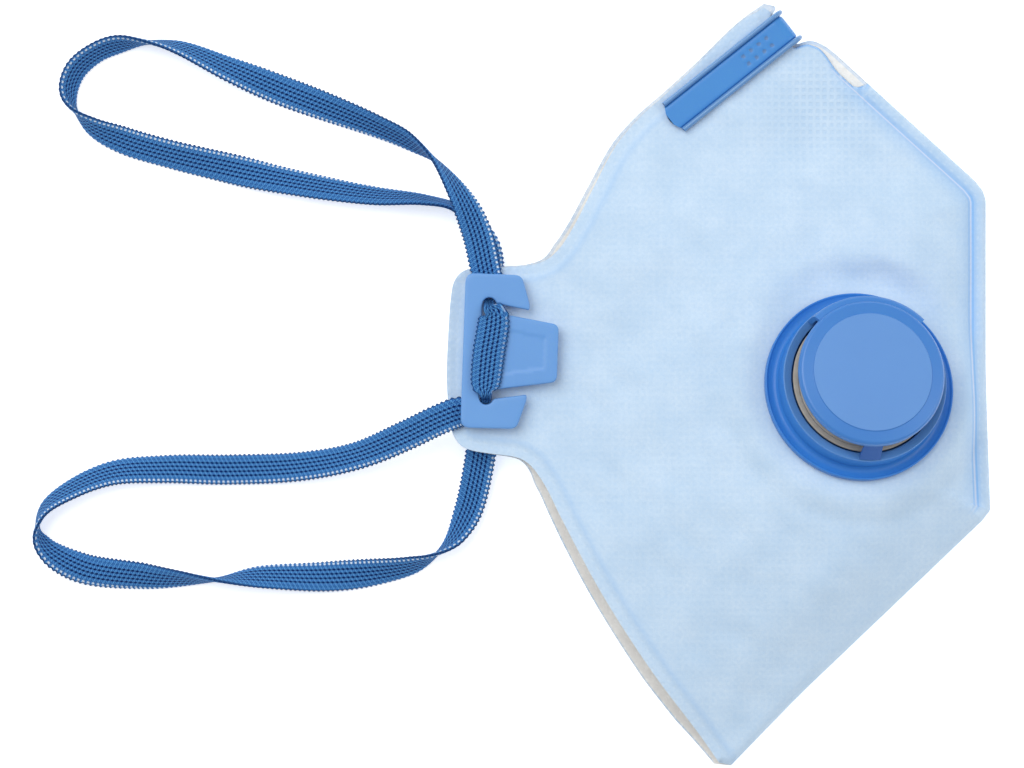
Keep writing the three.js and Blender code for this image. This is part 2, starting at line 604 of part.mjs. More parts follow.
const LOWER_ROUTE = [
  { x: -47.1, y: -6.0, base: UNDER_FRONT_PLATE, roll: 0, width: 2.4 }, // front buckle
  { x: -49.0, y: -5.8, base: UNDER_FRONT_PLATE, roll: 0, width: 4.6 },
  { x: -51.7, y: -5.5, base: UNDER_FRONT_PLATE, roll: 0, width: 6 },
  { x: -56.0, y: -7.0, base: UNDER_FRONT_PLATE, roll: 0, width: 6 },
  { x: -62.3, y: -10.0, base: 7.2, roll: 6, width: 6 },
  { x: -72.4, y: -14.2, base: 3.3, roll: 24, width: 6 },
  { x: -83.5, y: -16.4, base: 0.8, roll: 18, width: 6 },
  { x: -97.9, y: -17.1, base: ON_FLOOR, roll: 8, width: 6 },
  { x: -111.3, y: -17.0, base: ON_FLOOR, roll: 24, width: 6 },
  { x: -121.7, y: -17.8, base: ON_FLOOR, roll: 37, width: 6 },
  { x: -129.9, y: -21.1, base: ON_FLOOR, roll: 50, width: 6 },
  { x: -135.1, y: -24.9, base: ON_FLOOR, roll: 66, width: 6 },
  { x: -136.6, y: -28.7, base: ON_FLOOR, roll: 86, width: 6 }, // far end of the loop
  { x: -136.0, y: -31.2, base: ON_FLOOR, roll: 112, width: 6 },
  { x: -133.8, y: -33.9, base: ON_FLOOR, roll: 137, width: 6 },
  { x: -127.5, y: -37.0, base: ON_FLOOR, roll: 175, width: 6 },
  { x: -115.2, y: -38.4, base: ON_FLOOR, roll: 208, width: 6 },
  { x: -107.3, y: -38.9, base: ON_FLOOR, roll: 240, width: 6 },
  { x: -100.5, y: -39.1, base: ON_FLOOR, roll: 270, width: 6 },
  { x: -92.5, y: -38.6, base: ON_FLOOR, roll: 312, width: 6 },
  { x: -79.3, y: -38.6, base: ON_FLOOR, roll: 345, width: 6 },
  { x: -68.9, y: -37.6, base: ON_FLOOR, roll: 385, width: 6 },
  { x: -61.0, y: -36.0, base: ON_FLOOR, roll: 415, width: 6 },
  { x: -56.7, y: -34.0, base: ON_FLOOR, roll: 447, width: 6 },
  { x: -53.1, y: -30.9, base: ON_FLOOR, roll: 483, width: 6 },
  { x: -50.3, y: -25.4, base: 0.7, roll: 520, width: 6 },
  { x: -48.3, y: -17.1, base: 2.5, roll: 537, width: 6 },
  { x: -47.3, y: -10.4, base: UNDER_BACK_TAB, roll: 540, width: 6 },
  { x: -46.9, y: -6.6, base: UNDER_BACK_TAB, roll: 540, width: 5 },
  { x: -46.7, y: -4.6, base: UNDER_BACK_TAB, roll: 540, width: 2.4 }, // back buckle
];
const STEPS_PER_SPAN = 2;

// The strap where it shows on the buckle: up through one eye, over the plate and down the other,
// in the buckle's own frame. base is the height of its lower side above the plate's underside.
const CROSSING = [
  { y: 10.2, x: 4.9, base: GAP - UNDER_STRAP, width: 2.2 },
  { y: 9.4, x: 4.9, base: -0.7, width: 2.2 },
  { y: 8.9, x: 4.9, base: 0.8, width: 2.2 },
  { y: 8.4, x: 5.0, base: PLATE + GAP + 0.3, width: 2.6 },
  { y: 7.6, x: 5.8, base: PLATE + GAP + 0.2, width: 5.2 },
  { y: 6.0, x: 5.9, base: PLATE + GAP + 0.1, width: 6.1 },
  { y: 3.0, x: 5.6, base: PLATE + GAP + 0.1, width: 6.3 },
  { y: 0.0, x: 5.2, base: PLATE + GAP + 0.1, width: 6.3 },
  { y: -3.1, x: 4.95, base: PLATE + GAP + 0.1, width: 6.2 },
  { y: -6.2, x: 4.75, base: PLATE + GAP + 0.1, width: 5.8 },
  { y: -7.6, x: 4.7, base: PLATE + GAP + 0.2, width: 4.8 },
  { y: -8.4, x: 4.8, base: PLATE + GAP + 0.3, width: 2.6 },
  { y: -8.9, x: 4.9, base: 0.8, width: 2.2 },
  { y: -9.4, x: 4.9, base: -0.7, width: 2.2 },
  { y: -10.2, x: 4.9, base: GAP - UNDER_STRAP, width: 2.2 },
];

// One section of the flat elastic, an eight-sided loop with rounded edges.
function strapSection(centre, along, roll, width) {
  const level = new THREE.Vector3(-along.y, along.x, 0).normalize();
  const across = level.applyAxisAngle(along, THREE.MathUtils.degToRad(roll));
  const above = new THREE.Vector3().crossVectors(along, across);
  const shoulder = 0.72 * width / 2;
  const half = [
    [width / 2, -0.22 * STRAP.thickness], [width / 2, 0.22 * STRAP.thickness],
    [shoulder, STRAP.thickness / 2], [-shoulder, STRAP.thickness / 2],
  ];
  return [...half, ...half.map(([u, w]) => [-u, -w])].map(([u, w]) => centre.clone()
    .addScaledVector(across, u).addScaledVector(above, w));
}

function ribbon(route) {
  const middleOf = ({ x, y, base, roll, width }) => {
    const turn = THREE.MathUtils.degToRad(roll);
    const halfHeight = (Math.abs(Math.sin(turn)) * width + Math.abs(Math.cos(turn)) * STRAP.thickness) / 2;
    return new THREE.Vector3(x, y, base + halfHeight);
  };
  const line = new THREE.CatmullRomCurve3(route.map(middleOf), false, "centripetal");
  const sections = [];
  const spans = route.length - 1;
  for (let i = 0; i <= spans * STEPS_PER_SPAN; i += 1) {
    const place = i / STEPS_PER_SPAN;
    const first = Math.min(Math.floor(place), spans - 1);
    const mix = (key) => lerp(route[first][key], route[first + 1][key], place - first);
    const t = place / spans;
    sections.push(strapSection(line.getPoint(t), line.getTangent(t), mix("roll"), mix("width")));
  }
  return loft(sections);
}

function crossingGeometry() {
  return ribbon(CROSSING.map((row) => ({ roll: 0, ...row })));
}

// ---------------------------------------------------------------- the whole mask

const mask = new THREE.Group();
mask.add(
  facepiece(),
  noseClip(),
  valveBase(),
  valveMembrane(),
  valveCap(),
  placeBuckle(piece("buckle_front", buckleGeometry(), BUCKLE_LOOK), FRONT_PLATE_Z, false),
  placeBuckle(piece("buckle_back", buckleGeometry(), BUCKLE_LOOK), BACK_PLATE_Z, true),
  placeBuckle(piece("strap_crossing_front", crossingGeometry(), STRAP_LOOK), FRONT_PLATE_Z, false),
  placeBuckle(piece("strap_crossing_back", crossingGeometry(), STRAP_LOOK), BACK_PLATE_Z, true),
  piece("upper_strap", ribbon(UPPER_ROUTE), STRAP_LOOK),
  piece("lower_strap", ribbon(LOWER_ROUTE), STRAP_LOOK),
);

export default mask;
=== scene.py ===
import math

import bmesh
import bpy
import numpy as np
from mathutils import Matrix, Vector, geometry


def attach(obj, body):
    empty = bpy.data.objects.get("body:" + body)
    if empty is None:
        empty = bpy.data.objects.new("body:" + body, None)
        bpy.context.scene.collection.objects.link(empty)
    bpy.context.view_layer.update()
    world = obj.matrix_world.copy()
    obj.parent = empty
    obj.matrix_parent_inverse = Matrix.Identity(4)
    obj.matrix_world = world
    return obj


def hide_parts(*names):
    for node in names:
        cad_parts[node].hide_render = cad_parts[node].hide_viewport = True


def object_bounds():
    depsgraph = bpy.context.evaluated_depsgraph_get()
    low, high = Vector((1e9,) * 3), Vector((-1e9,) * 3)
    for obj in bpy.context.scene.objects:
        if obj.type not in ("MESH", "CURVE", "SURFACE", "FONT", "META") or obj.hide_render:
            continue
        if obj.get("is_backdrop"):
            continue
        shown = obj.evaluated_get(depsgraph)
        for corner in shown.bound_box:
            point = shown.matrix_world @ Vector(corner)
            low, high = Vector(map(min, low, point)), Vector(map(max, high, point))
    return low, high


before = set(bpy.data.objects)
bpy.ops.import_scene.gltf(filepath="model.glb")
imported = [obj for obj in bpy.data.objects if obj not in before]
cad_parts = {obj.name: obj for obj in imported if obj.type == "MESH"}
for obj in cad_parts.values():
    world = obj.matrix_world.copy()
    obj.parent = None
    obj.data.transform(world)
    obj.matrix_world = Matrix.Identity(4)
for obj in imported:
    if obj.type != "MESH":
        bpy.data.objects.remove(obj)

bl_info = {
    "name": "Folded half mask",
    "version": (1, 0, 0),
    "blender": (4, 5, 0),
    "location": "View3D > Sidebar > Half mask",
    "description": "Dresses the frame of a folded filtering half mask with a valve",
    "category": "Add Mesh",
}

MM = 0.001

# ---------------------------------------------------------------- sizes shared with the frame, mm

GAP = 0.3
PLATE = 1.4  # buckle plate
UNDER_STRAP = 1.6  # room under a buckle plate
CHEEK_BACK = 4.65  # underside of the back tab
CHEEK_FRONT = 8.45  # top of the front tab
NOSE_BACK = 2.2
NOSE_FRONT = 4.6
FRONT_PLATE_Z = CHEEK_FRONT + UNDER_STRAP
BACK_PLATE_Z = CHEEK_BACK - UNDER_STRAP
UNDER_FRONT_PLATE = CHEEK_FRONT + GAP
UNDER_BACK_TAB = CHEEK_BACK - GAP - 1.0
ON_FLOOR = 0.1

# Open edge that lies against the face, from nose to chin: (y, x).
FACE_EDGE = np.array([
    (76.3, 8.9), (71.3, 2.8), (64.5, -3.9), (57.9, -10.9), (53.3, -16.0), (47.9, -20.6),
    (38.9, -25.4), (31.3, -29.3), (26.9, -32.2), (24.6, -35.0), (23.6, -38.9), (23.2, -47.3),
    (22.9, -50.3), (22.1, -51.8), (20.4, -53.0), (17.0, -53.6), (9.7, -54.1), (0.9, -54.4),
    (-5.1, -54.0), (-8.8, -53.5), (-10.8, -52.7), (-12.3, -51.4), (-13.1, -49.4),
    (-13.7, -45.9), (-14.7, -39.9), (-16.3, -37.6), (-20.1, -34.9), (-26.1, -31.9),
    (-41.1, -23.9), (-56.7, -13.9), (-70.1, -3.9), (-76.3, 0.4),
])

# Closed edge on the middle line: (y, x, middle height, half thickness, margin, corner easing).
FRONT_EDGE = np.array([
    (76.3, 10.5, 3.4, 0.95, 1.0, 0.0), (75.4, 11.5, 3.4, 0.95, 1.5, 0.8),
    (73.9, 10.6, 3.4, 0.95, 1.5, 0.3), (68.1, 15.6, 3.4, 0.95, 2.0, 0.4),
    (68.7, 17.2, 3.4, 0.95, 3.0, 0.7), (68.9, 18.5, 3.4, 0.95, 3.0, 0.8),
    (68.2, 20.6, 3.4, 1.0, 3.0, 1.0), (66.9, 22.5, 3.4, 1.0, 3.0, 1.0),
    (40.9, 51.3, 2.4, 1.0, 3.0, 1.2), (38.9, 52.9, 2.4, 1.0, 3.0, 1.0),
    (37.0, 53.5, 2.4, 1.0, 3.0, 1.0), (1.0, 53.5, 2.4, 1.0, 3.0, 3.0),
    (-25.2, 54.4, 2.6, 1.6, 1.5, 1.0), (-27.4, 52.6, 3.0, 2.6, 0.0, 0.8),
    (-62.1, 16.2, 3.2, 2.8, 0.0, 2.0), (-76.3, 2.4, 3.1, 2.2, 0.0, 0.0),
])

# The ridge and front that the weld follows, its line carried on past the nose clip: (x, y).
WELD_GUIDE = np.array([
    (9.3, 78.8), (51.3, 40.9), (52.9, 38.9), (53.5, 37.0), (53.5, 1.0), (54.4, -25.2),
    (52.6, -27.4), (16.2, -62.1), (2.4, -76.3),
])

# Heights along the face edge: (y, front, back, x up to which they stay).
FACE_HEIGHTS = np.array([
    (76.3, NOSE_FRONT, NOSE_BACK, 40), (50.5, NOSE_FRONT, NOSE_BACK, 40),
    (27.0, CHEEK_FRONT, CHEEK_BACK, -27), (23.0, CHEEK_FRONT, CHEEK_BACK, -27),
    (-13.5, CHEEK_FRONT, CHEEK_BACK, -27), (-30.0, 9.3, 0.5, -31),
    (-58.0, 9.0, 0.3, -20), (-76.3, 5.4, 0.8, 0),
])
# How far the back half reaches past the front half along the face edge: (y, reach).
BACK_REACH = np.array([
    (-76.3, 0.9), (-66.0, 2.2), (-58.0, 2.4), (-30.0, 2.1), (-19.0, 1.7), (-14.5, 0.3),
    (-13.5, 0.12), (23.0, 0.12), (27.0, 1.4), (50.5, 0.8), (76.3, 0.2),
])
BACK_RAMP = 14
DOME = {"x": 14, "y": -18, "rx": 45, "ry": 52, "rise": 8.6}
FRONT_RISE_RUN = 17
BACK_RISE_RUN = 9

# Exhalation valve, about its own axis.
SEAT = Vector((26.8, -0.7, 12.5))
AXIS = Vector((math.tan(math.radians(7.7)), math.tan(math.radians(13.7)), 1)).normalized()
FLANGE_R = 18.9
RIM_Z = 1.7
RING_R = 16.3
RING_INNER_R = 14.6
RING_Z = 6.6
SEAT_R = 12
SEAT_Z = 5.3
MEMBRANE_R = 14.3
MEMBRANE_T = 0.5
CAP_R = 14.45
DISC_R = 11.7
CAP_Z = 13.2
SKIRT_Z = 10.9
VALVE_HOLE_R = 7.5

CLIP = {"x": -9.2, "y": 53.4, "angle": 38.5, "length": 30.4, "side": 3.7, "rib": 1.5,
        "wire": 3.2, "wire_z": 0.75}
# Pressed dimples in two rows: first one, spacing, half the distance of the rows, depth.
DIMPLES = {"first": 18.3, "step": 1.95, "row": 0.92, "depth": 0.16}

BUCKLE = {"x": -51.2, "y": 6.8, "angle": -2, "eye_x": 4.9}
# Right-hand side of the plate from its top left corner to the tongue: (x, y, corner radius).
BUCKLE_HALF = [
    (0.0, 15.35, 0.9), (11.1, 15.25, 0.6), (12.95, 9.4, 0.3), (12.9, 8.35, 0.2), (6.45, 9.4, 0.1),
]
BUCKLE_EYE = {"r": 1.4, "top_y": 9.2, "foot_y": 6.4}
BUCKLE_TONGUE = [(6.6, 7.6, 0.5), (18.8, 5.7, 0.6)]
TONGUE_PAD = [(7.8, 4.6), (7.8, -4.6), (16.3, -3.1), (16.3, 3.1)]
PAD_DEPTH = 0.07

STRAP_WIDTH = 6
ROW_PITCH = 0.85  # between the elastic's lengthwise rows
HOLE_HALF = (0.23, 0.2)  # half a hole in the knit, along and across
CORE_AT = 2.5  # rubber core, from the elastic's middle
# FLANK_AT places the painted shadow lines beside the weld line.
FLANK_AT = 0.45  # darker lines beside the weld line
TOOTH_PITCH = 1.9  # teeth of the welding wheel
WELD_IN = 3.0  # weld line, in from the closed edge
EDGE_RINGS = (0.12, 0.35, 0.7, 1.1, 1.7, 2.3, 2.8, 3.2, 3.8)  # rows of points beside an edge

# Routes of the head loops: (x, y, height of the strap's lower side, roll in degrees, width, cup).
# cup bows the strap's middle off the line between its edges.
F, B, L = UNDER_FRONT_PLATE, UNDER_BACK_TAB, ON_FLOOR
UPPER_ROUTE = [
    (-45.9, 17.8, F, 0, 2.4, 0), (-46.2, 20.0, F, 0, 5.6, 0), (-46.9, 23.6, F, 0, 6, 0),
    (-48.5, 30.2, 8.0, 8, 6, 0), (-51.7, 37.4, 6.7, 42, 6, 0), (-56.7, 44.6, 3.2, 84, 6, 0),
    (-62.3, 48.8, 0.9, 120, 6, 0), (-68.9, 51.9, 0.2, 135, 6, 0), (-78.7, 55.7, L, 157, 6, 0),
    (-88.3, 59.3, L, 182, 6, 0), (-98.1, 63.2, L, 212, 6, 0), (-108.6, 67.6, L, 242, 6, 0),
    (-114.8, 68.6, L, 268, 6, 0), (-120.4, 68.2, L, 300, 6, 0), (-124.9, 66.5, L, 305, 6, 0),
    (-128.9, 63.1, L, 308, 6, 0), (-130.4, 58.9, L, 300, 6, 0), (-129.6, 55.7, L, 278, 6, 0),
    (-125.9, 52.0, L, 238, 6, 0), (-119.4, 49.0, L, 207, 6, 0), (-109.9, 46.2, L, 203, 6, 0),
    (-99.8, 43.8, L, 190, 6, 0), (-90.0, 41.5, L, 160, 6, 0), (-78.7, 39.3, L, 143, 6, 0),
    (-68.9, 37.8, L, 129, 6, 0), (-59.1, 37.0, L, 111, 6, 0), (-53.1, 35.6, L, 106, 6, 0),
    (-49.2, 32.4, 0.3, 128, 6, 0), (-46.8, 28.0, 1.4, 158, 6, 0), (-46.1, 23.6, B, 180, 6, 0),
    (-46.0, 20.0, B, 180, 5.6, 0), (-45.9, 17.8, B, 180, 2.4, 0),
]
LOWER_ROUTE = [
    (-47.1, -6.0, F, 0, 2.4, 0), (-49.0, -5.8, F, 0, 4.6, 0), (-51.7, -5.5, F, 0, 6, 0),
    (-56.0, -7.0, F, 0, 6, 0), (-62.3, -10.0, 7.2, 6, 6, 0), (-72.4, -14.2, 3.3, 24, 6, 0),
    (-83.5, -16.4, 0.8, 18, 6, 0), (-97.9, -17.1, L, 8, 6, 0), (-111.3, -17.0, L, 24, 6, 0),
    (-121.7, -17.8, L, 37, 6, 0), (-129.9, -21.1, L, 50, 6, 0), (-135.1, -24.9, L, 66, 6, 0),
    (-136.6, -28.7, L, 86, 6, 0), (-136.0, -31.2, L, 112, 6, 0), (-133.8, -33.9, L, 137, 6, 0.2),
    (-127.5, -37.0, L, 175, 6, 0.5), (-115.2, -38.4, L, 208, 6, 0.4),
    (-107.3, -38.9, L, 240, 6, 0), (-100.5, -39.1, L, 270, 6, 0), (-92.5, -38.6, L, 312, 6, 0),
    (-79.3, -38.6, L, 345, 6, 0),
    (-68.9, -37.6, L, 385, 6, 0), (-61.0, -36.0, L, 415, 6, 0), (-56.7, -34.0, L, 447, 6, 0),
    (-53.1, -30.9, L, 483, 6, 0), (-50.3, -25.4, 0.7, 520, 6, 0), (-48.3, -17.1, 2.5, 537, 6, 0),
    (-47.3, -10.4, B, 540, 6, 0), (-46.9, -6.6, B, 540, 5, 0), (-46.7, -4.6, B, 540, 2.4, 0),
]
# The strap's crossing over a buckle, in the buckle's own frame: (x, y, lower side, width).
CROSSING = [
    (4.9, 10.2, GAP - UNDER_STRAP, 2.2), (4.9, 9.4, -0.7, 2.2), (4.9, 8.9, 0.8, 2.2),
    (5.0, 8.4, PLATE + 0.6, 2.6), (5.8, 7.6, PLATE + 0.5, 5.2), (5.9, 6.0, PLATE + 0.4, 6.1),
    (5.6, 3.0, PLATE + 0.4, 6.3), (5.2, 0.0, PLATE + 0.4, 6.3), (4.95, -3.1, PLATE + 0.4, 6.2),
    (4.75, -6.2, PLATE + 0.4, 5.8), (4.7, -7.6, PLATE + 0.5, 4.8), (4.8, -8.4, PLATE + 0.6, 2.6),
    (4.9, -8.9, 0.8, 2.2), (4.9, -9.4, -0.7, 2.2), (4.9, -10.2, GAP - UNDER_STRAP, 2.2),
]


# ---------------------------------------------------------------- colours and numbers

def srgb(hex_value):
    """An sRGB hex colour as linear red, green, blue."""
    channels = [(hex_value >> shift & 255) / 255 for shift in (16, 8, 0)]
    return tuple(c / 12.92 if c <= 0.04045 else ((c + 0.055) / 1.055) ** 2.4 for c in channels)


def smooth(start, end, value):
    """0 before start, 1 after end, and a smooth step between them."""
    t = np.clip((value - start) / (end - start), 0, 1)
    return t * t * (3 - 2 * t)


def row_at(table, y, ease=lambda t: t):
    """The rows of a table at heights y, worked out between its own rows, which fall in y."""
    index = np.clip(np.searchsorted(-table[:, 0], -y, side="right") - 1, 0, len(table) - 2)
    upper, lower = table[index], table[index + 1]
    share = ease(np.clip((upper[:, 0] - y) / (upper[:, 0] - lower[:, 0]), 0, 1))
    return upper + (lower - upper) * share[:, None]


# ---------------------------------------------------------------- flat outlines

def corner_arc(before, here, after, reach, steps):
    """A corner between its neighbours turned into an arc, whose ends lie reach away from it."""
    back, ahead = before - here, after - here
    reach = min(reach, 0.45 * np.hypot(*back), 0.45 * np.hypot(*ahead))
    start = here + back / np.hypot(*back) * reach
    end = here + ahead / np.hypot(*ahead) * reach
    return [(1 - t) ** 2 * start + 2 * t * (1 - t) * here + t ** 2 * end
            for t in np.arange(steps + 1) / steps]


def round_corners(corners, steps=6):
    """A closed outline of (x, y, radius) corners with each one turned into an arc."""
    spots = np.array([corner[:2] for corner in corners], float)
    outline = []
    for i, (here, (_, _, radius)) in enumerate(zip(spots, corners)):
        after = spots[(i + 1) % len(spots)]
        outline += corner_arc(spots[i - 1], here, after, 2.2 * radius, steps) if radius else [here]
    return np.array(outline)


def spaced(points, step, closed=True):
    """The same line with a point about every step, its sharp turns kept."""
    ends = list(zip(points, np.roll(points, -1, 0)))
    parts = []
    for a, b in ends if closed else ends[:-1]:
        count = max(1, int(round(np.hypot(*(b - a)) / step)))
        parts.append(a + (b - a) * np.arange(count)[:, None] / count)
    return np.vstack(parts if closed else [*parts, points[-1:]])


def flowing(points, step):
    """A smooth line through points, with a point about every step."""
    padded = np.vstack([2 * points[0] - points[1], points, 2 * points[-1] - points[-2]])
    line = []
    for p0, p1, p2, p3 in zip(padded, padded[1:], padded[2:], padded[3:]):
        spans = ((p0, p1), (p1, p2), (p2, p3))
        gaps = [max(math.sqrt(np.hypot(*(b - a))), 1e-3) for a, b in spans]
        m1, m2 = tangents(p0, p1, p2, p3, gaps)
        count = max(2, int(round(np.hypot(*(p2 - p1)) / step)))
        for t in np.arange(count) / count:
            line.append(hermite(p1, p2, m1, m2, t))
    return np.array([*line, points[-1]])


def tangents(p0, p1, p2, p3, gaps):
    """End slopes of a centripetal spline's span between p1 and p2."""
    d0, d1, d2 = gaps
    m1 = (p1 - p0) / d0 - (p2 - p0) / (d0 + d1) + (p2 - p1) / d1
    m2 = (p2 - p1) / d1 - (p3 - p1) / (d1 + d2) + (p3 - p2) / d2
    return m1 * d1, m2 * d1


def hermite(p1, p2, m1, m2, t):
    """Point of a cubic span at t."""
    return ((2 * t ** 3 - 3 * t ** 2 + 1) * p1 + (t ** 3 - 2 * t ** 2 + t) * m1
            + (3 * t ** 2 - 2 * t ** 3) * p2 + (t ** 3 - t ** 2) * m2)


def nearest(points, line, closed=False):
    """Distance from each point to a line, and how far along the line its nearest point is."""
    ends = np.vstack([line, line[:1]]) if closed else line
    starts, spans = ends[:-1], np.diff(ends, axis=0)
    lengths = np.maximum(np.hypot(*spans.T), 1e-9)
    travelled = np.concatenate([[0], np.cumsum(lengths)[:-1]])
    distance, along = np.empty(len(points)), np.empty(len(points))
    for first in range(0, len(points), 2000):
        some = points[first:first + 2000, None, :] - starts
        t = np.clip((some * spans).sum(2) / lengths ** 2, 0, 1)
        away = np.hypot(*np.moveaxis(some - t[..., None] * spans, 2, 0))
        best = away.argmin(1)
        rows = np.arange(len(best))
        distance[first:first + 2000] = away[rows, best]
        along[first:first + 2000] = travelled[best] + t[rows, best] * lengths[best]
    return distance, along


def inside(points, outline):
    """True for the points that lie within a closed outline."""
    x, y = points.T
    within = np.zeros(len(points), bool)
    for (x1, y1), (x2, y2) in zip(outline, np.roll(outline, -1, 0)):
        if y1 == y2:
            continue
        crosses = (y1 > y) != (y2 > y)
        within ^= crosses & (x < (x2 - x1) * (y - y1) / (y2 - y1) + x1)
    return within


def fill_outline(outline, spacing, rings, holes=(), extra=()):
    """Points and triangles that fill an outline: a honeycomb grid, with rings beside the edge."""
    inward = np.roll(outline, -1, 0) - np.roll(outline, 1, 0)
    inward = np.stack([-inward[:, 1], inward[:, 0]], 1) / np.hypot(*inward.T)[:, None]
    if not inside(outline[:1] + 0.01 * inward[:1], outline)[0]:
        inward = -inward
    low, high = outline.min(0), outline.max(0)
    rows = np.arange(low[1], high[1], spacing * math.sqrt(3) / 2)
    grid = np.array([
        (x, y) for i, y in enumerate(rows)
        for x in np.arange(low[0] + (i % 2) * spacing / 2, high[0], spacing)
    ])
    last = rings[-1] if rings else 0
    grid = grid[nearest(grid, outline, True)[0] > last + 0.6 * spacing]
    grid = grid[inside(grid, outline)]
    loops = [outline, *holes]
    for hole in holes:
        grid = grid[(nearest(grid, hole, True)[0] > 0.5 * spacing) & ~inside(grid, hole)]
    bands = [grid]
    for distance in rings:
        band = outline + distance * inward
        band = band[inside(band, outline) & (nearest(band, outline, True)[0] > 0.93 * distance)]
        bands.append(band)
    for loop in extra:
        bands[0] = bands[0][nearest(bands[0], loop, True)[0] > 0.4 * spacing]
        bands.append(loop)
    edges, start = [], 0
    for loop in loops:
        edges += [(start + i, start + (i + 1) % len(loop)) for i in range(len(loop))]
        start += len(loop)
    points = np.vstack([*loops, *bands])
    result = geometry.delaunay_2d_cdt([Vector(p) for p in points], edges, [], 0, 1e-5)
    flat = np.array([tuple(p) for p in result[0]])
    faces = np.array([f for f in result[2] if len(f) == 3])
    centres = flat[faces].mean(1)
    keep = inside(centres, outline)
    for hole in holes:
        keep &= ~inside(centres, hole)
    return flat, faces[keep]


def slab(flat, faces, top, bottom):
    """A closed solid over filled outline points, with a side wall round each open edge."""
    count = len(flat)
    points = np.vstack([np.column_stack([flat, top]), np.column_stack([flat, bottom])])
    sides = set()
    for a, b, c in faces:
        for edge in ((a, b), (b, c), (c, a)):
            if edge[::-1] in sides:
                sides.remove(edge[::-1])
            else:
                sides.add(edge)
    walls = [(a, a + count, b + count, b) for a, b in sorted(sides)]
    upper = [tuple(f) for f in faces]
    lower = [tuple(count + i for i in f[::-1]) for f in faces]
    kinds = [0] * len(upper) + [1] * len(lower) + [2] * len(walls)
    return points, upper + lower + walls, kinds


# ---------------------------------------------------------------- solids of turning and sweeping

def rounded_profile(rows, steps=4):
    """A profile of (radius, height, corner radius) rows with its corners turned into arcs."""
    spots = np.array([row[:2] for row in rows], float)
    line = []
    for i, (here, (_, _, radius)) in enumerate(zip(spots, rows)):
        plain = radius == 0 or i in (0, len(rows) - 1)
        line += [here] if plain else corner_arc(spots[i - 1], here, spots[i + 1], radius, steps)
    return np.array(line)


def turned(profile, segments=144):
    """Points and faces of a profile turned about the local Z axis."""
    points, faces, rings = [], [], []
    for r, z in profile:
        count = 1 if r < 1e-6 else segments
        rings.append((len(points), count))
        for i in range(count):
            angle = 2 * math.pi * i / segments
            points.append((r * math.cos(angle), r * math.sin(angle), z))
    for (a, many_a), (b, many_b) in zip(rings, rings[1:]):
        for i in range(segments):
            j = (i + 1) % segments
            quad = [a + (i if many_a > 1 else 0), a + (j if many_a > 1 else 0),
                    b + (j if many_b > 1 else 0), b + (i if many_b > 1 else 0)]
            faces.append(tuple(dict.fromkeys(quad)))
    return np.array(points), faces


def swept(sections):
    """Points and faces of a solid through sections that have the same number of points."""
    count = len(sections[0])
    points = np.vstack(sections)
    faces = []
    for s in range(len(sections) - 1):
        for i in range(count):
            j = (i + 1) % count
            faces.append((s * count + i, s * count + j, (s + 1) * count + j, (s + 1) * count + i))
    faces.append(tuple(range(count))[::-1])
    faces.append(tuple((len(sections) - 1) * count + i for i in range(count)))
    return points, faces


def merged(*solids):
    """Several (points, faces) solids as one."""
    points, faces, start = [], [], 0
    for some_points, some_faces in solids:
        points.append(np.asarray(some_points, float))
        faces += [tuple(start + i for i in f) for f in some_faces]
        start += len(some_points)
    return np.vstack(points), faces


def on_valve(points):
    """Points about the valve's own axis moved to where the valve sits."""
    turn = Vector((0, 0, 1)).rotation_difference(AXIS).to_matrix()
    return np.asarray(points) @ np.array(turn).T + np.array(SEAT + AXIS * GAP)


def on_buckle(points, front):
    """Points in the buckle's frame moved to the front or the back tab."""
    placed = np.asarray(points, float).copy()
    if not front:
        placed[:, 1:] *= -1
    turn = Matrix.Rotation(math.radians(BUCKLE["angle"]), 3, "Z")
    height = FRONT_PLATE_Z if front else BACK_PLATE_Z
    return placed @ np.array(turn).T + np.array((BUCKLE["x"], BUCKLE["y"], height))


# ---------------------------------------------------------------- pieces and materials

def add_piece(name, points, faces, replaces, materials, kinds=None, sharp=None):
    """A mesh piece in the frame from millimetre points, with its materials and its node."""
    mesh = bpy.data.meshes.new(name)
    mesh.from_pydata((np.asarray(points) * MM).tolist(), [], faces)
    for material in materials:
        mesh.materials.append(material)
    if kinds is not None:
        mesh.polygons.foreach_set("material_index", kinds)
    mesh.validate()
    mesh.polygons.foreach_set("use_smooth", [True] * len(mesh.polygons))
    if sharp is not None:
        mesh.set_sharp_from_angle(angle=math.radians(sharp))
    piece = bpy.data.objects.new(name, mesh)
    bpy.context.scene.collection.objects.link(piece)
    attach(piece, "root")
    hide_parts(*replaces)
    return piece


def face_outward(piece):
    """Turn all the faces of a closed piece outward."""
    work = bmesh.new()
    work.from_mesh(piece.data)
    bmesh.ops.recalc_face_normals(work, faces=work.faces)
    work.to_mesh(piece.data)
    work.free()


def write_attribute(piece, name, values):
    """A number at each vertex that the piece's material reads by name."""
    attribute = piece.data.attributes.new(name, "FLOAT", "POINT")
    attribute.data.foreach_set("value", np.asarray(values, np.float32))


def add_node(tree, kind, inputs=None, **settings):
    """Add a node with its settings, and give each input a value or a link."""
    made = tree.nodes.new(kind)
    for name, value in settings.items():
        setattr(made, name, value)
    for key, value in (inputs or {}).items():
        if isinstance(value, bpy.types.NodeSocket):
            tree.links.new(value, made.inputs[key])
        else:
            made.inputs[key].default_value = value
    return made


def number(tree, operation, *values):
    """The result of a sum on numbers."""
    return add_node(tree, "ShaderNodeMath", dict(enumerate(values)),
                    operation=operation).outputs[0]


def ramp(tree, value, low, high, start=0.0, end=1.0, easing="LINEAR"):
    """A value's place between low and high, as a number between start and end."""
    return add_node(tree, "ShaderNodeMapRange",
                    {"Value": value, "From Min": low, "From Max": high, "To Min": start,
                     "To Max": end}, interpolation_type=easing).outputs["Result"]


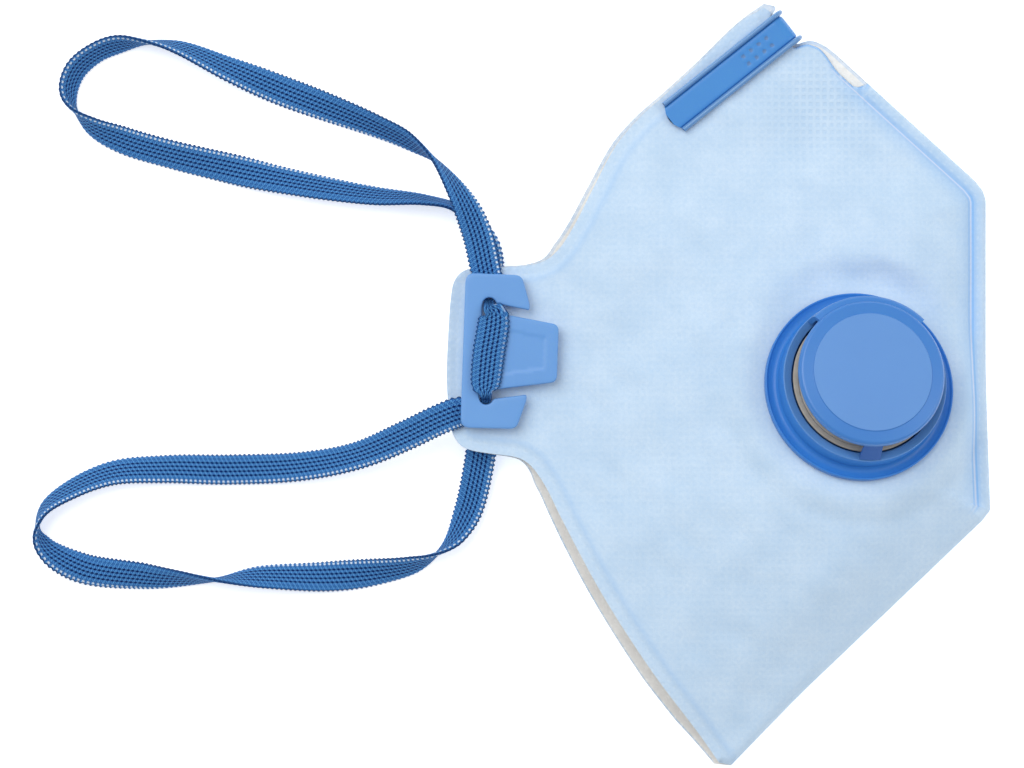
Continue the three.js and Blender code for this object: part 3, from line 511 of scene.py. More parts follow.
def blend(tree, factor, first, second):
    """A mix of two colours, each given as red, green, blue or as a socket."""
    sides = [c if isinstance(c, bpy.types.NodeSocket) else (*c, 1) for c in (first, second)]
    return add_node(tree, "ShaderNodeMix", {"Factor": factor, "A": sides[0], "B": sides[1]},
                    data_type="RGBA").outputs["Result"]


def stored(tree, name):
    """The number that write_attribute stored under that name."""
    return add_node(tree, "ShaderNodeAttribute", attribute_name=name).outputs["Fac"]


def object_place(tree):
    """Place on the object, in metres."""
    return add_node(tree, "ShaderNodeTexCoord").outputs["Object"]


def noise(tree, place, scale, detail=2.0, roughness=0.5):
    """Noise of that many waves to a unit of place."""
    return add_node(tree, "ShaderNodeTexNoise",
                    {"Vector": place, "Scale": scale, "Detail": detail,
                     "Roughness": roughness}).outputs["Fac"]


def bumped(tree, strength, depth, relief):
    """A surface direction bent by relief of that depth in metres."""
    return add_node(tree, "ShaderNodeBump", {"Strength": strength, "Distance": depth,
                                             "Height": relief}).outputs["Normal"]


def new_material(name):
    """An empty node material of that name, and its tree."""
    material = bpy.data.materials.new(name)
    material.use_nodes = True
    material.node_tree.nodes.clear()
    return material, material.node_tree


def finish_material(tree, surface):
    """Add the shader with its inputs, and join it to the surface output."""
    shader = add_node(tree, "ShaderNodeBsdfPrincipled", surface)
    add_node(tree, "ShaderNodeOutputMaterial", {"Surface": shader.outputs["BSDF"]})


def spunbond(name, sizes, base, cloud, pressed, shade_colour, crease_highlight_colour):
    """Polypropylene spunbond, point-bonded: dull, faintly fibrous, clouded where the fibres lie
    denser, with a grid of small pressed dots, painted shade round the welds, painted shadow
    lines beside the front weld and a painted highlight along the weld line."""
    material, tree = new_material(name)
    millimetres = add_node(tree, "ShaderNodeVectorMath",
                           {0: object_place(tree), 1: (1000, 1000, 1000)},
                           operation="MULTIPLY").outputs["Vector"]
    # Bond dots on a square grid, which print through where the nose clip draws the plies tight.
    bond = add_node(tree, "ShaderNodeTexVoronoi",
                    {"Vector": millimetres, "Scale": MM / sizes.bond_pitch, "Randomness": 0.05},
                    voronoi_dimensions="2D", distance="CHEBYCHEV").outputs["Distance"]
    dot = ramp(tree, bond, 0.17, 0.36, 1, 0, "SMOOTHSTEP")
    dots = number(tree, "MULTIPLY", dot, stored(tree, "bonds_show"))
    # Cloudy lay of the fibres, 3 to 12 mm, and bundles of fibre under 1 mm.
    clouds = noise(tree, millimetres, 0.11, 5.0, 0.6)
    fibre = noise(tree, millimetres, 1.5, 4.0, 0.7)
    colour = blend(tree, ramp(tree, clouds, 0.35, 0.65), base, cloud)
    colour = blend(tree, number(tree, "MULTIPLY", dots, sizes.bond_colour), colour, pressed)
    colour = blend(tree, ramp(tree, fibre, 0.3, 0.7, 0.0, 0.24), colour, pressed)
    # Painted shade round the welds, two painted shadow lines that flank the front weld, then a
    # painted highlight along the weld line.
    colour = blend(tree, stored(tree, "seam_shade"), colour, shade_colour)
    off = number(tree, "ABSOLUTE", stored(tree, "seam_mm"))
    flank_shadow = number(tree, "ABSOLUTE", number(tree, "SUBTRACT", off, FLANK_AT))
    flank_shadow = ramp(tree, flank_shadow, 0.08, 0.26, 0.8, 0)
    flank_shadow = number(tree, "MULTIPLY", flank_shadow, stored(tree, "weld_flank_shadows"))
    colour = blend(tree, flank_shadow, colour, shade_colour)
    line = ramp(tree, off, 0.05, 0.18, 0.7, 0)
    line = number(tree, "MULTIPLY", line, stored(tree, "weld_line_highlight"))
    colour = blend(tree, line, colour, crease_highlight_colour)
    # Teeth of the welding wheel along the outer margins.
    margin = stored(tree, "margin_mm")
    rolled = add_node(tree, "ShaderNodeCombineXYZ",
                      {"X": stored(tree, "along_mm"), "Y": margin}).outputs[0]
    teeth = add_node(tree, "ShaderNodeTexVoronoi",
                     {"Vector": rolled, "Scale": 1 / TOOTH_PITCH, "Randomness": 0.1},
                     voronoi_dimensions="2D").outputs["Distance"]
    tooth = number(tree, "MULTIPLY", ramp(tree, teeth, 0.14, 0.3, 1, 0),
                   ramp(tree, margin, 1.6, 2.1, 1, 0))
    colour = blend(tree, number(tree, "MULTIPLY", tooth, 0.5), colour, cloud)
    # Relief: pressed dots and teeth go down, fibres stand up.
    relief = number(tree, "MULTIPLY_ADD", fibre, 0.55, clouds)
    relief = number(tree, "SUBTRACT", relief, number(tree, "MAXIMUM", dots, tooth))
    finish_material(tree, {
        "Base Color": colour, "Roughness": 0.82, "IOR": 1.49,
        "Normal": bumped(tree, sizes.bond_relief, 0.00012, relief),
        "Sheen Weight": 0.12, "Sheen Roughness": 0.6, "Specular IOR Level": 0.3,
    })
    return material


def moulded(name, base, deep, roughness, grain_mm, grain_depth, coat, specular=0.5):
    """Moulded or extruded plastic: an even waxy colour that wanders a little towards a deeper
    one, soft gloss and a faint mould grain."""
    material, tree = new_material(name)
    place = object_place(tree)
    grain = noise(tree, place, 1 / (grain_mm * MM))
    finish_material(tree, {
        "Base Color": blend(tree, noise(tree, place, 70.0, 3.0), base, deep),
        "Roughness": ramp(tree, grain, 0, 1, roughness - 0.05, roughness + 0.07),
        "IOR": 1.49, "Coat Weight": coat, "Coat Roughness": 0.25,
        "Specular IOR Level": specular, "Normal": bumped(tree, 0.6, grain_depth * MM, grain),
        "Subsurface Weight": 0.08, "Subsurface Radius": (0.0004, 0.0007, 0.0016),
    })
    return material


def silicone(name, base, dusty):
    """Cast silicone sheet: a dull, slightly dusty grey-beige rubber."""
    material, tree = new_material(name)
    dust = noise(tree, object_place(tree), 900.0, 4.0)
    finish_material(tree, {
        "Base Color": blend(tree, dust, base, dusty), "Roughness": 0.5, "IOR": 1.42,
        "Normal": bumped(tree, 0.3, 0.00003, dust),
    })
    return material


def drawn_steel(name, base):
    """Drawn soft-iron wire, cut: dark grey metal with a rough sheared end."""
    material, tree = new_material(name)
    rough = noise(tree, object_place(tree), 3000.0)
    finish_material(tree, {
        "Base Color": (*base, 1), "Metallic": 1.0, "Roughness": ramp(tree, rough, 0, 1, 0.35, 0.6),
    })
    return material


def knitted_elastic(name, sizes, light, middle, dark, core):
    """Warp-knitted polyester elastic: lengthwise rows of staggered holes and grooves painted dark
    as shade, between slanted stitches with painted highlights on their tops, and the white rubber
    core showing as a row of dots beside the edge."""
    material, tree = new_material(name)
    across = stored(tree, "across_mm")
    pitch = sizes.stitch_pitch / MM
    count = number(tree, "MULTIPLY", stored(tree, "along_mm"), 1 / pitch)
    # Place in a row of holes, every second row half a stitch further on. The four middle rows
    # are open, and those beside the edges are nearly closed.
    edge = number(tree, "ABSOLUTE", across)
    open_row = ramp(tree, edge, 2 * ROW_PITCH - 0.1, 2 * ROW_PITCH + 0.15, 1.0, 0.3)
    row = number(tree, "MULTIPLY_ADD", across, 1 / ROW_PITCH, 0.5)
    whole_row = number(tree, "ROUND", row)
    within = number(tree, "SUBTRACT", row, whole_row)
    from_row = number(tree, "ABSOLUTE", within)
    step = number(tree, "MULTIPLY_ADD", whole_row, 0.5, count)
    step = number(tree, "MULTIPLY_ADD", within, 0.45, step)
    beat = number(tree, "SUBTRACT", number(tree, "FRACT", step), 0.5)
    hole_at = add_node(tree, "ShaderNodeCombineXYZ", {
        "X": number(tree, "MULTIPLY", beat, pitch / HOLE_HALF[0]),
        "Y": number(tree, "MULTIPLY", within, ROW_PITCH / HOLE_HALF[1])}).outputs[0]
    hole_far = add_node(tree, "ShaderNodeVectorMath", {0: hole_at},
                        operation="LENGTH").outputs["Value"]
    hole = number(tree, "MULTIPLY", ramp(tree, hole_far, 0.75, 1.3, 1.0, 0.0), open_row)
    groove = number(tree, "MULTIPLY", ramp(tree, from_row, 0.08, 0.3, 0.6, 0.0), open_row)
    # Slanted threads, and a lighter crown midway between two holes: painted highlight on the
    # stitches.
    slant = number(tree, "MULTIPLY_ADD", from_row, 1.9, number(tree, "ADD", count, count))
    thread = ramp(tree, number(tree, "SINE", number(tree, "MULTIPLY", slant, 2 * math.pi)),
                  -1.0, 1.0)
    crown = ramp(tree, number(tree, "ABSOLUTE", beat), 0.1, 0.5)
    lit = number(tree, "MULTIPLY_ADD", thread, 0.65, number(tree, "MULTIPLY", crown, 0.35))
    colour = blend(tree, lit, middle, light)
    # Holes and the grooves between rows are painted dark: painted shade.
    colour = blend(tree, number(tree, "MAXIMUM", hole, groove), colour, dark)
    # The last thread beside each edge lies in shade.
    colour = blend(tree, ramp(tree, edge, 2.62, 2.95, 0.0, 0.7), colour, dark)
    core_beat = number(tree, "SUBTRACT", number(tree, "FRACT", count), 0.5)
    core_beat = number(tree, "MULTIPLY", number(tree, "ABSOLUTE", core_beat), pitch)
    core_side = number(tree, "ABSOLUTE", number(tree, "SUBTRACT", edge, CORE_AT))
    square = number(tree, "MAXIMUM", core_beat, core_side)
    core_dot = number(tree, "MULTIPLY", ramp(tree, square, 0.16, 0.26, 1.0, 0.0),
                      stored(tree, "core_shows"))
    colour = blend(tree, core_dot, colour, core)
    finish_material(tree, {
        "Base Color": colour, "Roughness": 0.62, "IOR": 1.5, "Specular IOR Level": 0.08,
        "Normal": bumped(tree, 0.7, 0.0002, number(tree, "SUBTRACT", lit, hole)),
    })
    return material


# ---------------------------------------------------------------- settings that a user changes

class ClothSettings(bpy.types.PropertyGroup):
    """Laminate of the two halves."""
    wall: bpy.props.FloatProperty(
        name="Wall", description="Thickness of the laminate", default=1.2 * MM, unit="LENGTH")
    bond_pitch: bpy.props.FloatProperty(
        name="Bond pitch", description="Spacing of the pressed bond dots", default=1.4 * MM,
        unit="LENGTH")
    bond_colour: bpy.props.FloatProperty(
        name="Bond colour", description="How far the dots deepen the colour", default=0.22,
        subtype="FACTOR")
    bond_relief: bpy.props.FloatProperty(
        name="Bond relief", description="Strength of the cloth's fine relief", default=0.5,
        subtype="FACTOR")
    wrinkle: bpy.props.FloatProperty(
        name="Wrinkle", description="Height of the soft unevenness", default=0.3 * MM,
        unit="LENGTH")
    outer: bpy.props.FloatVectorProperty(
        name="Outer ply", description="Blue cover web", subtype="COLOR",
        default=srgb(0xC4DAEE))
    inner: bpy.props.FloatVectorProperty(
        name="Inner ply", description="White face-side web", subtype="COLOR",
        default=srgb(0xE9E6E2))


class StrapSettings(bpy.types.PropertyGroup):
    """Knitted head elastic."""
    thickness: bpy.props.FloatProperty(
        name="Thickness", description="Thickness of the elastic", default=1.0 * MM,
        unit="LENGTH")
    stitch_pitch: bpy.props.FloatProperty(
        name="Stitch pitch", description="Length of one stitch", default=0.93 * MM,
        unit="LENGTH")
    # light and dark are lit and shaded copies of the yarn: painted highlight and painted shade.
    light: bpy.props.FloatVectorProperty(
        name="Yarn, lit", description="Top of a stitch", subtype="COLOR",
        default=srgb(0x64A8E0))
    middle: bpy.props.FloatVectorProperty(
        name="Yarn", description="Body of the yarn", subtype="COLOR", default=srgb(0x0A4A9C))
    dark: bpy.props.FloatVectorProperty(
        name="Slots", description="Shade between the chains", subtype="COLOR",
        default=srgb(0x001650))


class ValveSettings(bpy.types.PropertyGroup):
    """Exhalation valve."""
    flange: bpy.props.FloatVectorProperty(
        name="Body", description="Flanged valve body", subtype="COLOR", default=srgb(0x3C85D4))
    cap: bpy.props.FloatVectorProperty(
        name="Cap", description="Polished part of the cap", subtype="COLOR",
        default=srgb(0x3E80C9))
    disc: bpy.props.FloatVectorProperty(
        name="Cap disc", description="Matt disc on the cap", subtype="COLOR",
        default=srgb(0x6295D4))
    membrane: bpy.props.FloatVectorProperty(
        name="Membrane", description="Silicone flap", subtype="COLOR", default=srgb(0xBDB6AA))


class FittingSettings(bpy.types.PropertyGroup):
    """Nose clip and strap buckles."""
    clip: bpy.props.FloatVectorProperty(
        name="Nose clip", description="Plastic strip over the nose", subtype="COLOR",
        default=srgb(0x488FD3))
    clip_bulge: bpy.props.FloatProperty(
        name="Clip end", description="How far the clip's rounded end bulges",
        default=1.1 * MM, unit="LENGTH")
    buckle: bpy.props.FloatVectorProperty(
        name="Buckles", description="Plates that hold the straps", subtype="COLOR",
        default=srgb(0x6AA1DE))
    buckle_edge: bpy.props.FloatProperty(
        name="Buckle edge", description="Edge rounding of the plates", default=0.35 * MM,
        unit="LENGTH")


class StageSettings(bpy.types.PropertyGroup):
    """Camera, lights and floor."""
    camera_height: bpy.props.FloatProperty(
        name="Camera height", description="Camera above the floor", default=0.7, unit="LENGTH")
    lens: bpy.props.FloatProperty(
        name="Lens", description="Focal length in millimetres", default=122.3)
    key: bpy.props.FloatProperty(
        name="Key light", description="Power of the main softbox", default=6.6, unit="POWER")
    fill: bpy.props.FloatProperty(
        name="Fill light", description="Power of the fill softbox", default=2.6, unit="POWER")
    sky: bpy.props.FloatProperty(
        name="Surround", description="Brightness of the white surround", default=0.47)


SETTINGS = {
    "mask_cloth": ClothSettings,
    "mask_straps": StrapSettings,
    "mask_valve": ValveSettings,
    "mask_fittings": FittingSettings,
    "mask_stage": StageSettings,
}


# ---------------------------------------------------------------- straps

def follow(route, thickness):
    """Spline through a route's stations: centre, roll, width and cup at close steps, in mm."""
    stations = np.array(route, float)
    turn = np.radians(stations[:, 3])
    half = (np.abs(np.sin(turn)) * stations[:, 4] + np.abs(np.cos(turn)) * thickness) / 2
    knots = np.column_stack([stations[:, :2], stations[:, 2] + half])
    rest = stations[:, 3:]
    ends = np.vstack([2 * knots[0] - knots[1], knots, 2 * knots[-1] - knots[-2]])
    slopes = np.gradient(rest, axis=0)
    samples = []
    for i in range(len(knots) - 1):
        p0, p1, p2, p3 = ends[i:i + 4]
        spans = ((p0, p1), (p1, p2), (p2, p3))
        gaps = [math.sqrt(max(np.linalg.norm(b - a), 1e-6)) for a, b in spans]
        m1, m2 = tangents(p0, p1, p2, p3, gaps)
        for t in np.arange(40) / 40:
            centre = hermite(p1, p2, m1, m2, t)
            others = hermite(rest[i], rest[i + 1], slopes[i], slopes[i + 1], t)
            samples.append([*centre, *others])
    samples.append([*knots[-1], *rest[-1]])
    samples = np.array(samples)
    steps = np.linalg.norm(np.diff(samples[:, :3], axis=0), axis=1)
    travelled = np.concatenate([[0], np.cumsum(steps)])
    return travelled, samples


def elastic(route, thickness, pitch, step, columns, crown=0.0):
    """Knitted strap along a route: points, faces, place across and along it, and centreline."""
    travelled, samples = follow(route, thickness)
    length = travelled[-1]
    stops = np.linspace(0, length, int(length / step) + 1)
    at = np.column_stack([np.interp(stops, travelled, column) for column in samples.T])
    centre, roll, width, cup = at[:, :3], np.radians(at[:, 3]), at[:, 4], at[:, 5]
    tangent = np.gradient(centre, axis=0)
    tangent /= np.linalg.norm(tangent, axis=1)[:, None]
    level = np.column_stack([-tangent[:, 1], tangent[:, 0], np.zeros(len(tangent))])
    level /= np.linalg.norm(level, axis=1)[:, None]
    upright = np.cross(tangent, level)
    across = level * np.cos(roll)[:, None] + upright * np.sin(roll)[:, None]
    above = np.cross(tangent, across)
    u = np.linspace(-1, 1, columns)
    # Flat chains of stitches with a rounded edge chain on either side.
    body = np.sqrt(np.clip(1 - np.abs(u) ** 7, 0, 1))
    sections, place_u, place_v = [], [], []
    for i, v in enumerate(stops):
        narrow = width[i] / STRAP_WIDTH
        flat = STRAP_WIDTH / 2 * u
        ridge = 0.5 - 0.5 * np.cos(2 * math.pi * flat / ROW_PITCH)
        height = 0.5 * thickness * body * (0.82 + 0.12 * ridge)
        scallop = 1 + 0.06 * np.cos(2 * math.pi * v / pitch) * np.abs(u) ** 6
        sideways = np.outer(flat * narrow * scallop, across[i])
        bow = cup[i] * (1 - u ** 2) * -1 - crown * u ** 2 * min(1, narrow ** 3)
        top = centre[i] + sideways + np.outer(height + bow, above[i])
        bottom = centre[i] + sideways + np.outer(bow - height, above[i])
        ring = np.vstack([top, bottom[::-1][1:-1]])
        sections.append(ring)
        place_u.append(np.concatenate([flat, flat[::-1][1:-1]]))
        place_v.append(np.full(len(ring), v))
    points, faces = swept(sections)
    return points, faces, np.concatenate(place_u), np.concatenate(place_v), centre


def add_elastic(name, made, shows, replaces, material):
    """Strap piece with the numbers that its knit pattern reads."""
    points, faces, across, along, _ = made
    piece = add_piece(name, points, faces, replaces, [material])
    write_attribute(piece, "across_mm", across)
    write_attribute(piece, "along_mm", along)
    write_attribute(piece, "core_shows", shows(across, along))
    face_outward(piece)
    return piece


class MASK_OT_add_straps(bpy.types.Operator):
    """Add the two head loops and their crossings over the buckles"""
    bl_idname = "mask.add_straps"
    bl_label = "Straps"

    def execute(self, context):
        sizes = context.scene.mask_straps
        thickness, pitch = sizes.thickness / MM, sizes.stitch_pitch / MM
        material = knitted_elastic("knitted_polyester_elastic", sizes, sizes.light, sizes.middle,
                                   sizes.dark, srgb(0xDCE8F4))
        route = [(x, y, base, 0, width, 0) for x, y, base, width in CROSSING]
        for side, front in (("front", True), ("back", False)):
            points, *rest = elastic(route, thickness, pitch, 0.15, 34, crown=0.3)
            made = (on_buckle(points, front), *rest)
            add_elastic(
                f"knitted_crossing_{side}", made, lambda u, v: np.where(u > 0, 0.35, 0.0),
                [f"strap_crossing_{side}"], material)
        # The core shows most beside the edge that the twist opens towards the light.
        shows = {
            "upper": lambda u, v: np.where(u < 0, 0.95, 0.0),
            "lower": lambda u, v: np.where(u > 0, 0.9, 0.0),
        }
        for name, route, side in (("upper", UPPER_ROUTE, "front"), ("lower", LOWER_ROUTE, "back")):
            made = elastic(route, thickness, pitch, 0.19, 26)
            made[0][:, 2] = np.maximum(made[0][:, 2], 0.05)
            piece = add_elastic(f"knitted_{name}_loop", made, shows[name], [f"{name}_strap"],
                                material)
        return {"FINISHED"}


# ---------------------------------------------------------------- cloth halves

def front_edge_at(x, y):
    """Distance to the closed edge, and its middle, half thickness and margin there."""
    best = np.full(len(x), np.inf)
    values = np.zeros((len(x), 3))
    for a, b in zip(FRONT_EDGE, FRONT_EDGE[1:]):
        run = (b[1] - a[1]) ** 2 + (b[0] - a[0]) ** 2
        t = np.clip(((x - a[1]) * (b[1] - a[1]) + (y - a[0]) * (b[0] - a[0])) / run, 0, 1)
        distance = np.hypot(x - a[1] - (b[1] - a[1]) * t, y - a[0] - (b[0] - a[0]) * t)
        closer = distance < best
        best = np.where(closer, distance, best)
        row = a[2:5] + (b[2:5] - a[2:5]) * t[:, None]
        values = np.where(closer[:, None], row, values)
    return best, *values.T


def face_heights(y):
    """Face edge heights, softened over a few millimetres along the edge."""
    shifts = ((-7, 0.1), (-3.5, 0.22), (0, 0.36), (3.5, 0.22), (7, 0.1))
    return sum(share * row_at(FACE_HEIGHTS, y + shift, lambda t: smooth(0, 1, t))
               for shift, share in shifts)


def seat_plane(x, y):
    """Height of the plane that the valve flange holds flat."""
    return SEAT.z - ((x - SEAT.x) * AXIS.x + (y - SEAT.y) * AXIS.y) / AXIS.z


def seat_distance(x, y):
    """Distance from the middle of the valve seat, along its plane."""
    plane = seat_plane(x, y)
    return np.sqrt((x - SEAT.x) ** 2 + (y - SEAT.y) ** 2 + (plane - SEAT.z) ** 2)


def front_height(x, y):
    """Outer face of the front half."""
    face = face_heights(y)[:, 1]
    rho = ((x - DOME["x"]) / DOME["rx"]) ** 2 + ((y - DOME["y"]) / DOME["ry"]) ** 2
    free = face + DOME["rise"] * (1 - np.minimum(rho, 1)) ** 2
    distance, middle, half, fin = front_edge_at(x, y)
    bulge = half * np.sqrt(1 - (1 - np.clip(distance / half, 0, 1)) ** 2)
    rise = 1 - (1 - np.clip((distance - fin) / FRONT_RISE_RUN, 0, 1)) ** 2
    swollen = middle + bulge + (free - middle - half) * rise
    plane = seat_plane(x, y)
    off_seat = smooth(FLANGE_R + 2.4, FLANGE_R + 9, seat_distance(x, y))
    return plane + (swollen - plane) * off_seat


def back_height(x, y):
    """Outer face of the back half, which lies on the floor."""
    face = face_heights(y)
    lifted = face[:, 2] * (1 - smooth(face[:, 3], face[:, 3] + BACK_RAMP, x))
    distance, middle, half, fin = front_edge_at(x, y)
    bulge = half * np.sqrt(1 - (1 - np.clip(distance / half, 0, 1)) ** 2)
    rise = 1 - (1 - np.clip((distance - fin) / BACK_RISE_RUN, 0, 1)) ** 2
    return middle - bulge + (lifted - middle + half) * rise


def unevenness(x, y):
    """Soft waves of handled cloth, about -1 to 1, from a few crossing ripples."""
    ripples = ((25, 8, 0.3, 0.4), (80, 11, 1.9, 0.3), (140, 17, 4.1, 0.45), (55, 6, 2.7, 0.16),
               (115, 23, 0.8, 0.5), (10, 31, 5.2, 0.5), (165, 9, 3.3, 0.22))
    total = np.zeros(len(x))
    for bearing, wave, phase, share in ripples:
        c, s = math.cos(math.radians(bearing)), math.sin(math.radians(bearing))
        bent = x * c + y * s + 1.8 * np.sin((x * s - y * c) / (0.37 * wave) + phase)
        total += share * np.sin(2 * math.pi * bent / wave + phase)
    return total / 1.3


def closed_edge_line(step):
    """The closed edge from chin to nose, its corners eased."""
    spots, easing = FRONT_EDGE[::-1, [1, 0]], FRONT_EDGE[::-1, 5]
    bent = [spots[0]]
    for i in range(1, len(spots) - 1):
        bent += corner_arc(spots[i - 1], spots[i], spots[i + 1], easing[i], 5)
    return spaced(np.array([*bent, spots[-1]]), step, closed=False)


def half_outline(front, step=1.0):
    """Face edge and closed edge of one half, each from its own start to its end."""
    face = flowing(FACE_EDGE[:, ::-1], step)
    closed = closed_edge_line(step)
    if front:
        # Over the nose the front half is set back a little, and bares the back half's lining.
        shy = 1.0 + 1.4 * smooth(20, 26, closed[:, 0])
        shy *= smooth(13, 15, closed[:, 0]) * smooth(29.6, 28.9, closed[:, 0])
        shy = np.where(closed[:, 1] > 55, shy, 0)
        shy += 1.5 * smooth(73.2, 74.2, closed[:, 1]) * smooth(12.5, 11.8, closed[:, 0])
        closed = closed - np.outer(shy, (0.66, 0.75))
        face = face - np.outer(0.9 * smooth(73, 76, face[:, 1]), (0.2, 1.0))
    else:
        heading = np.gradient(face, axis=0)
        outward = np.stack([heading[:, 1], -heading[:, 0]], 1) / np.hypot(*heading.T)[:, None]
        reach = np.interp(face[:, 1], *BACK_REACH.T)
        face = face + outward * (reach * smooth(0, 4, np.arange(len(face))))[:, None]
    return face, closed


def cloth_half(front, wall, wrinkle):
    """One half of the facepiece: points, faces, kinds and the numbers its material reads."""
    face, closed = half_outline(front)
    outline = np.vstack([face[:-1], closed[:-1]])
    hole = None
    if front:
        turn = np.linspace(0, 2 * math.pi, 48, endpoint=False)
        ring = np.column_stack([VALVE_HOLE_R * np.cos(turn), VALVE_HOLE_R * np.sin(turn),
                                np.zeros(48)])
        hole = on_valve(ring)[:, :2]
    flat, faces = fill_outline(outline, 1.1 if front else 1.6,
                               EDGE_RINGS, [hole] if front else [])
    x, y = flat.T
    to_face, along_face = nearest(flat, face)
    to_closed, along_closed = nearest(flat, closed)
    top, bottom = front_height(x, y), back_height(x, y)
    middle = (top + bottom) / 2
    # Welded ridge and front, but not the chin fold.
    welded = smooth(-27, -22, y) * smooth(20, 26, x)
    to_guide = nearest(flat, WELD_GUIDE)[0]
    seam_at = WELD_IN + 0.15 * smooth(48, 52, x)
    groove = np.exp(-((to_guide - seam_at) / 0.35) ** 2) * welded
    pucker = np.exp(-((to_guide - 4.6) / 1.1) ** 2) * welded
    pressed = 1 - smooth(1.7, 3.0, to_face)
    waves = unevenness(x, y) * smooth(2, 9, to_face) * smooth(0.8, 9, to_closed)
    waves *= smooth(FLANGE_R + 1, FLANGE_R + 6, seat_distance(x, y)) if front else 1
    if front:
        own_edge = middle + 0.9 * (1 - (1 - np.clip(to_closed / 0.9, 0, 1)) ** 2) ** 0.5
        by_nose = (x > 12) & (x < 40) & (y > 40)
        outer = np.where(by_nose, np.minimum(top, own_edge + to_closed), top)
        outer = outer - 0.35 * pressed - 0.35 * groove + 0.2 * pucker + wrinkle * waves
        thick = np.clip(outer - middle - 0.15, 0.0, wall - 0.4 * pressed)
        inner = outer - thick
        upper, lower, kinds_of = outer, inner, {0: 0, 1: 1, 2: 2}
    else:
        outer = bottom + 0.25 * groove + 0.1 * pressed
        outer = np.maximum(outer, 0.03)
        thick = np.clip(middle - 0.15 - outer, 0.0, wall - 0.3 * pressed)
        inner = outer + thick
        upper, lower, kinds_of = inner, outer, {0: 1, 1: 0, 2: 2}
    points, all_faces, kinds = slab(flat, faces, upper, lower)
    kinds = [kinds_of[k] for k in kinds]
    # Painted shade round the welded seams and along the face edge.
    shade_by_seams = np.maximum(0.6 * welded * np.exp(-((to_guide - 2.7) / 0.9) ** 2),
                      0.3 * welded * smooth(7, 3, to_guide) * smooth(0, 2.5, to_guide))
    shade_by_seams = np.maximum(shade_by_seams, 0.22 * np.exp(-((to_face - 2.9) / 0.6) ** 2))
    if front:
        # Over the nose, a painted shadow along the front half's set-back edge.
        ridge = smooth(30.5, 29.5, x) * smooth(14, 16, x) * smooth(50, 55, y)
        shade_by_seams = np.maximum(shade_by_seams, 0.9 * ridge * smooth(0.6, 0.25, to_closed))
    else:
        # The back half's lining ends in a blue fringe where it looks out past the front half.
        fringe = np.where(y[faces].mean(1) < 0, 0.3, 0.65)
        rim = np.minimum(to_face, to_closed)[faces].mean(1) < fringe
        kinds[:len(faces)] = [2 if at_rim else 1 for at_rim in rim]
    bonds = 0.25 + 0.75 * np.exp(-((x - 22) / 13) ** 2 - ((y - 57) / 11) ** 2)
    margin = np.where(to_face < to_closed, to_face, np.where(welded > 0.5, to_closed, 9.0))
    along = np.where(to_face < to_closed, along_face, along_closed)
    numbers = {"seam_shade": shade_by_seams, "weld_line_highlight": welded, "seam_mm": to_guide - seam_at,
               "weld_flank_shadows": welded * smooth(48, 52, x), "bonds_show": bonds,
               "margin_mm": margin, "along_mm": along}
    x1, y1 = outline.T
    x2, y2 = np.roll(outline, -1, 0).T
    area = abs((x1 * y2 - x2 * y1).sum()) / 2
    span = outline.max(0) - outline.min(0)
    return points, all_faces, kinds, numbers, area, span


class MASK_OT_add_cloth(bpy.types.Operator):
    """Add the front and back halves of the facepiece"""
    bl_idname = "mask.add_cloth"
    bl_label = "Facepiece cloth"

    def execute(self, context):
        sizes = context.scene.mask_cloth
        # The last two colours of each cloth are the painted seam shade and the painted highlight
        # along the weld line.
        outer = spunbond("spunbond_polypropylene_blue", sizes, sizes.outer, srgb(0xCFE2F3),
                         srgb(0x93BDE4), srgb(0x82B6EC), srgb(0xDCE0F2))
        inner = spunbond("spunbond_polypropylene_white", sizes, sizes.inner, srgb(0xFAF9F5),
                         srgb(0xDAD8D2), srgb(0xDAD8D2), srgb(0xE8E6E0))
        edge = spunbond("welded_edge_polypropylene", sizes, srgb(0xC9D9EA), srgb(0xE6ECF2),
                        srgb(0xA9BED6), srgb(0xA9BED6), srgb(0xC9D9EA))
        for side in ("back", "front"):
            points, faces, kinds, numbers, area, span = cloth_half(
                side == "front", sizes.wall / MM, sizes.wrinkle / MM)
            piece = add_piece(f"cloth_{side}_half", points, faces, ["facepiece"],
                              [outer, inner, edge], kinds, sharp=60)
            for name, values in numbers.items():
                write_attribute(piece, name, np.concatenate([values, values]))
        return {"FINISHED"}


# ---------------------------------------------------------------- nose clip

def clip_section():
    """Section of the strip as (across, above the cloth): a band with a round rib on each side."""
    half = [(CLIP["side"], 0.0), (CLIP["side"], 0.5)]
    for turn in range(0, 181, 20):
        angle = math.radians(turn)
        half.append((CLIP["wire"] + 0.5 * math.cos(angle),
                     CLIP["wire_z"] + 0.72 * math.sin(angle)))
    half += [(2.66, 0.5), (2.6, 0.36), (2.5, 0.54), (2.35, 0.65), (2.1, 0.69)]
    half += [(0.15 * step, 0.7) for step in range(12, -1, -1)]
    return np.array(half + [(-a, h) for a, h in half[-2::-1]])


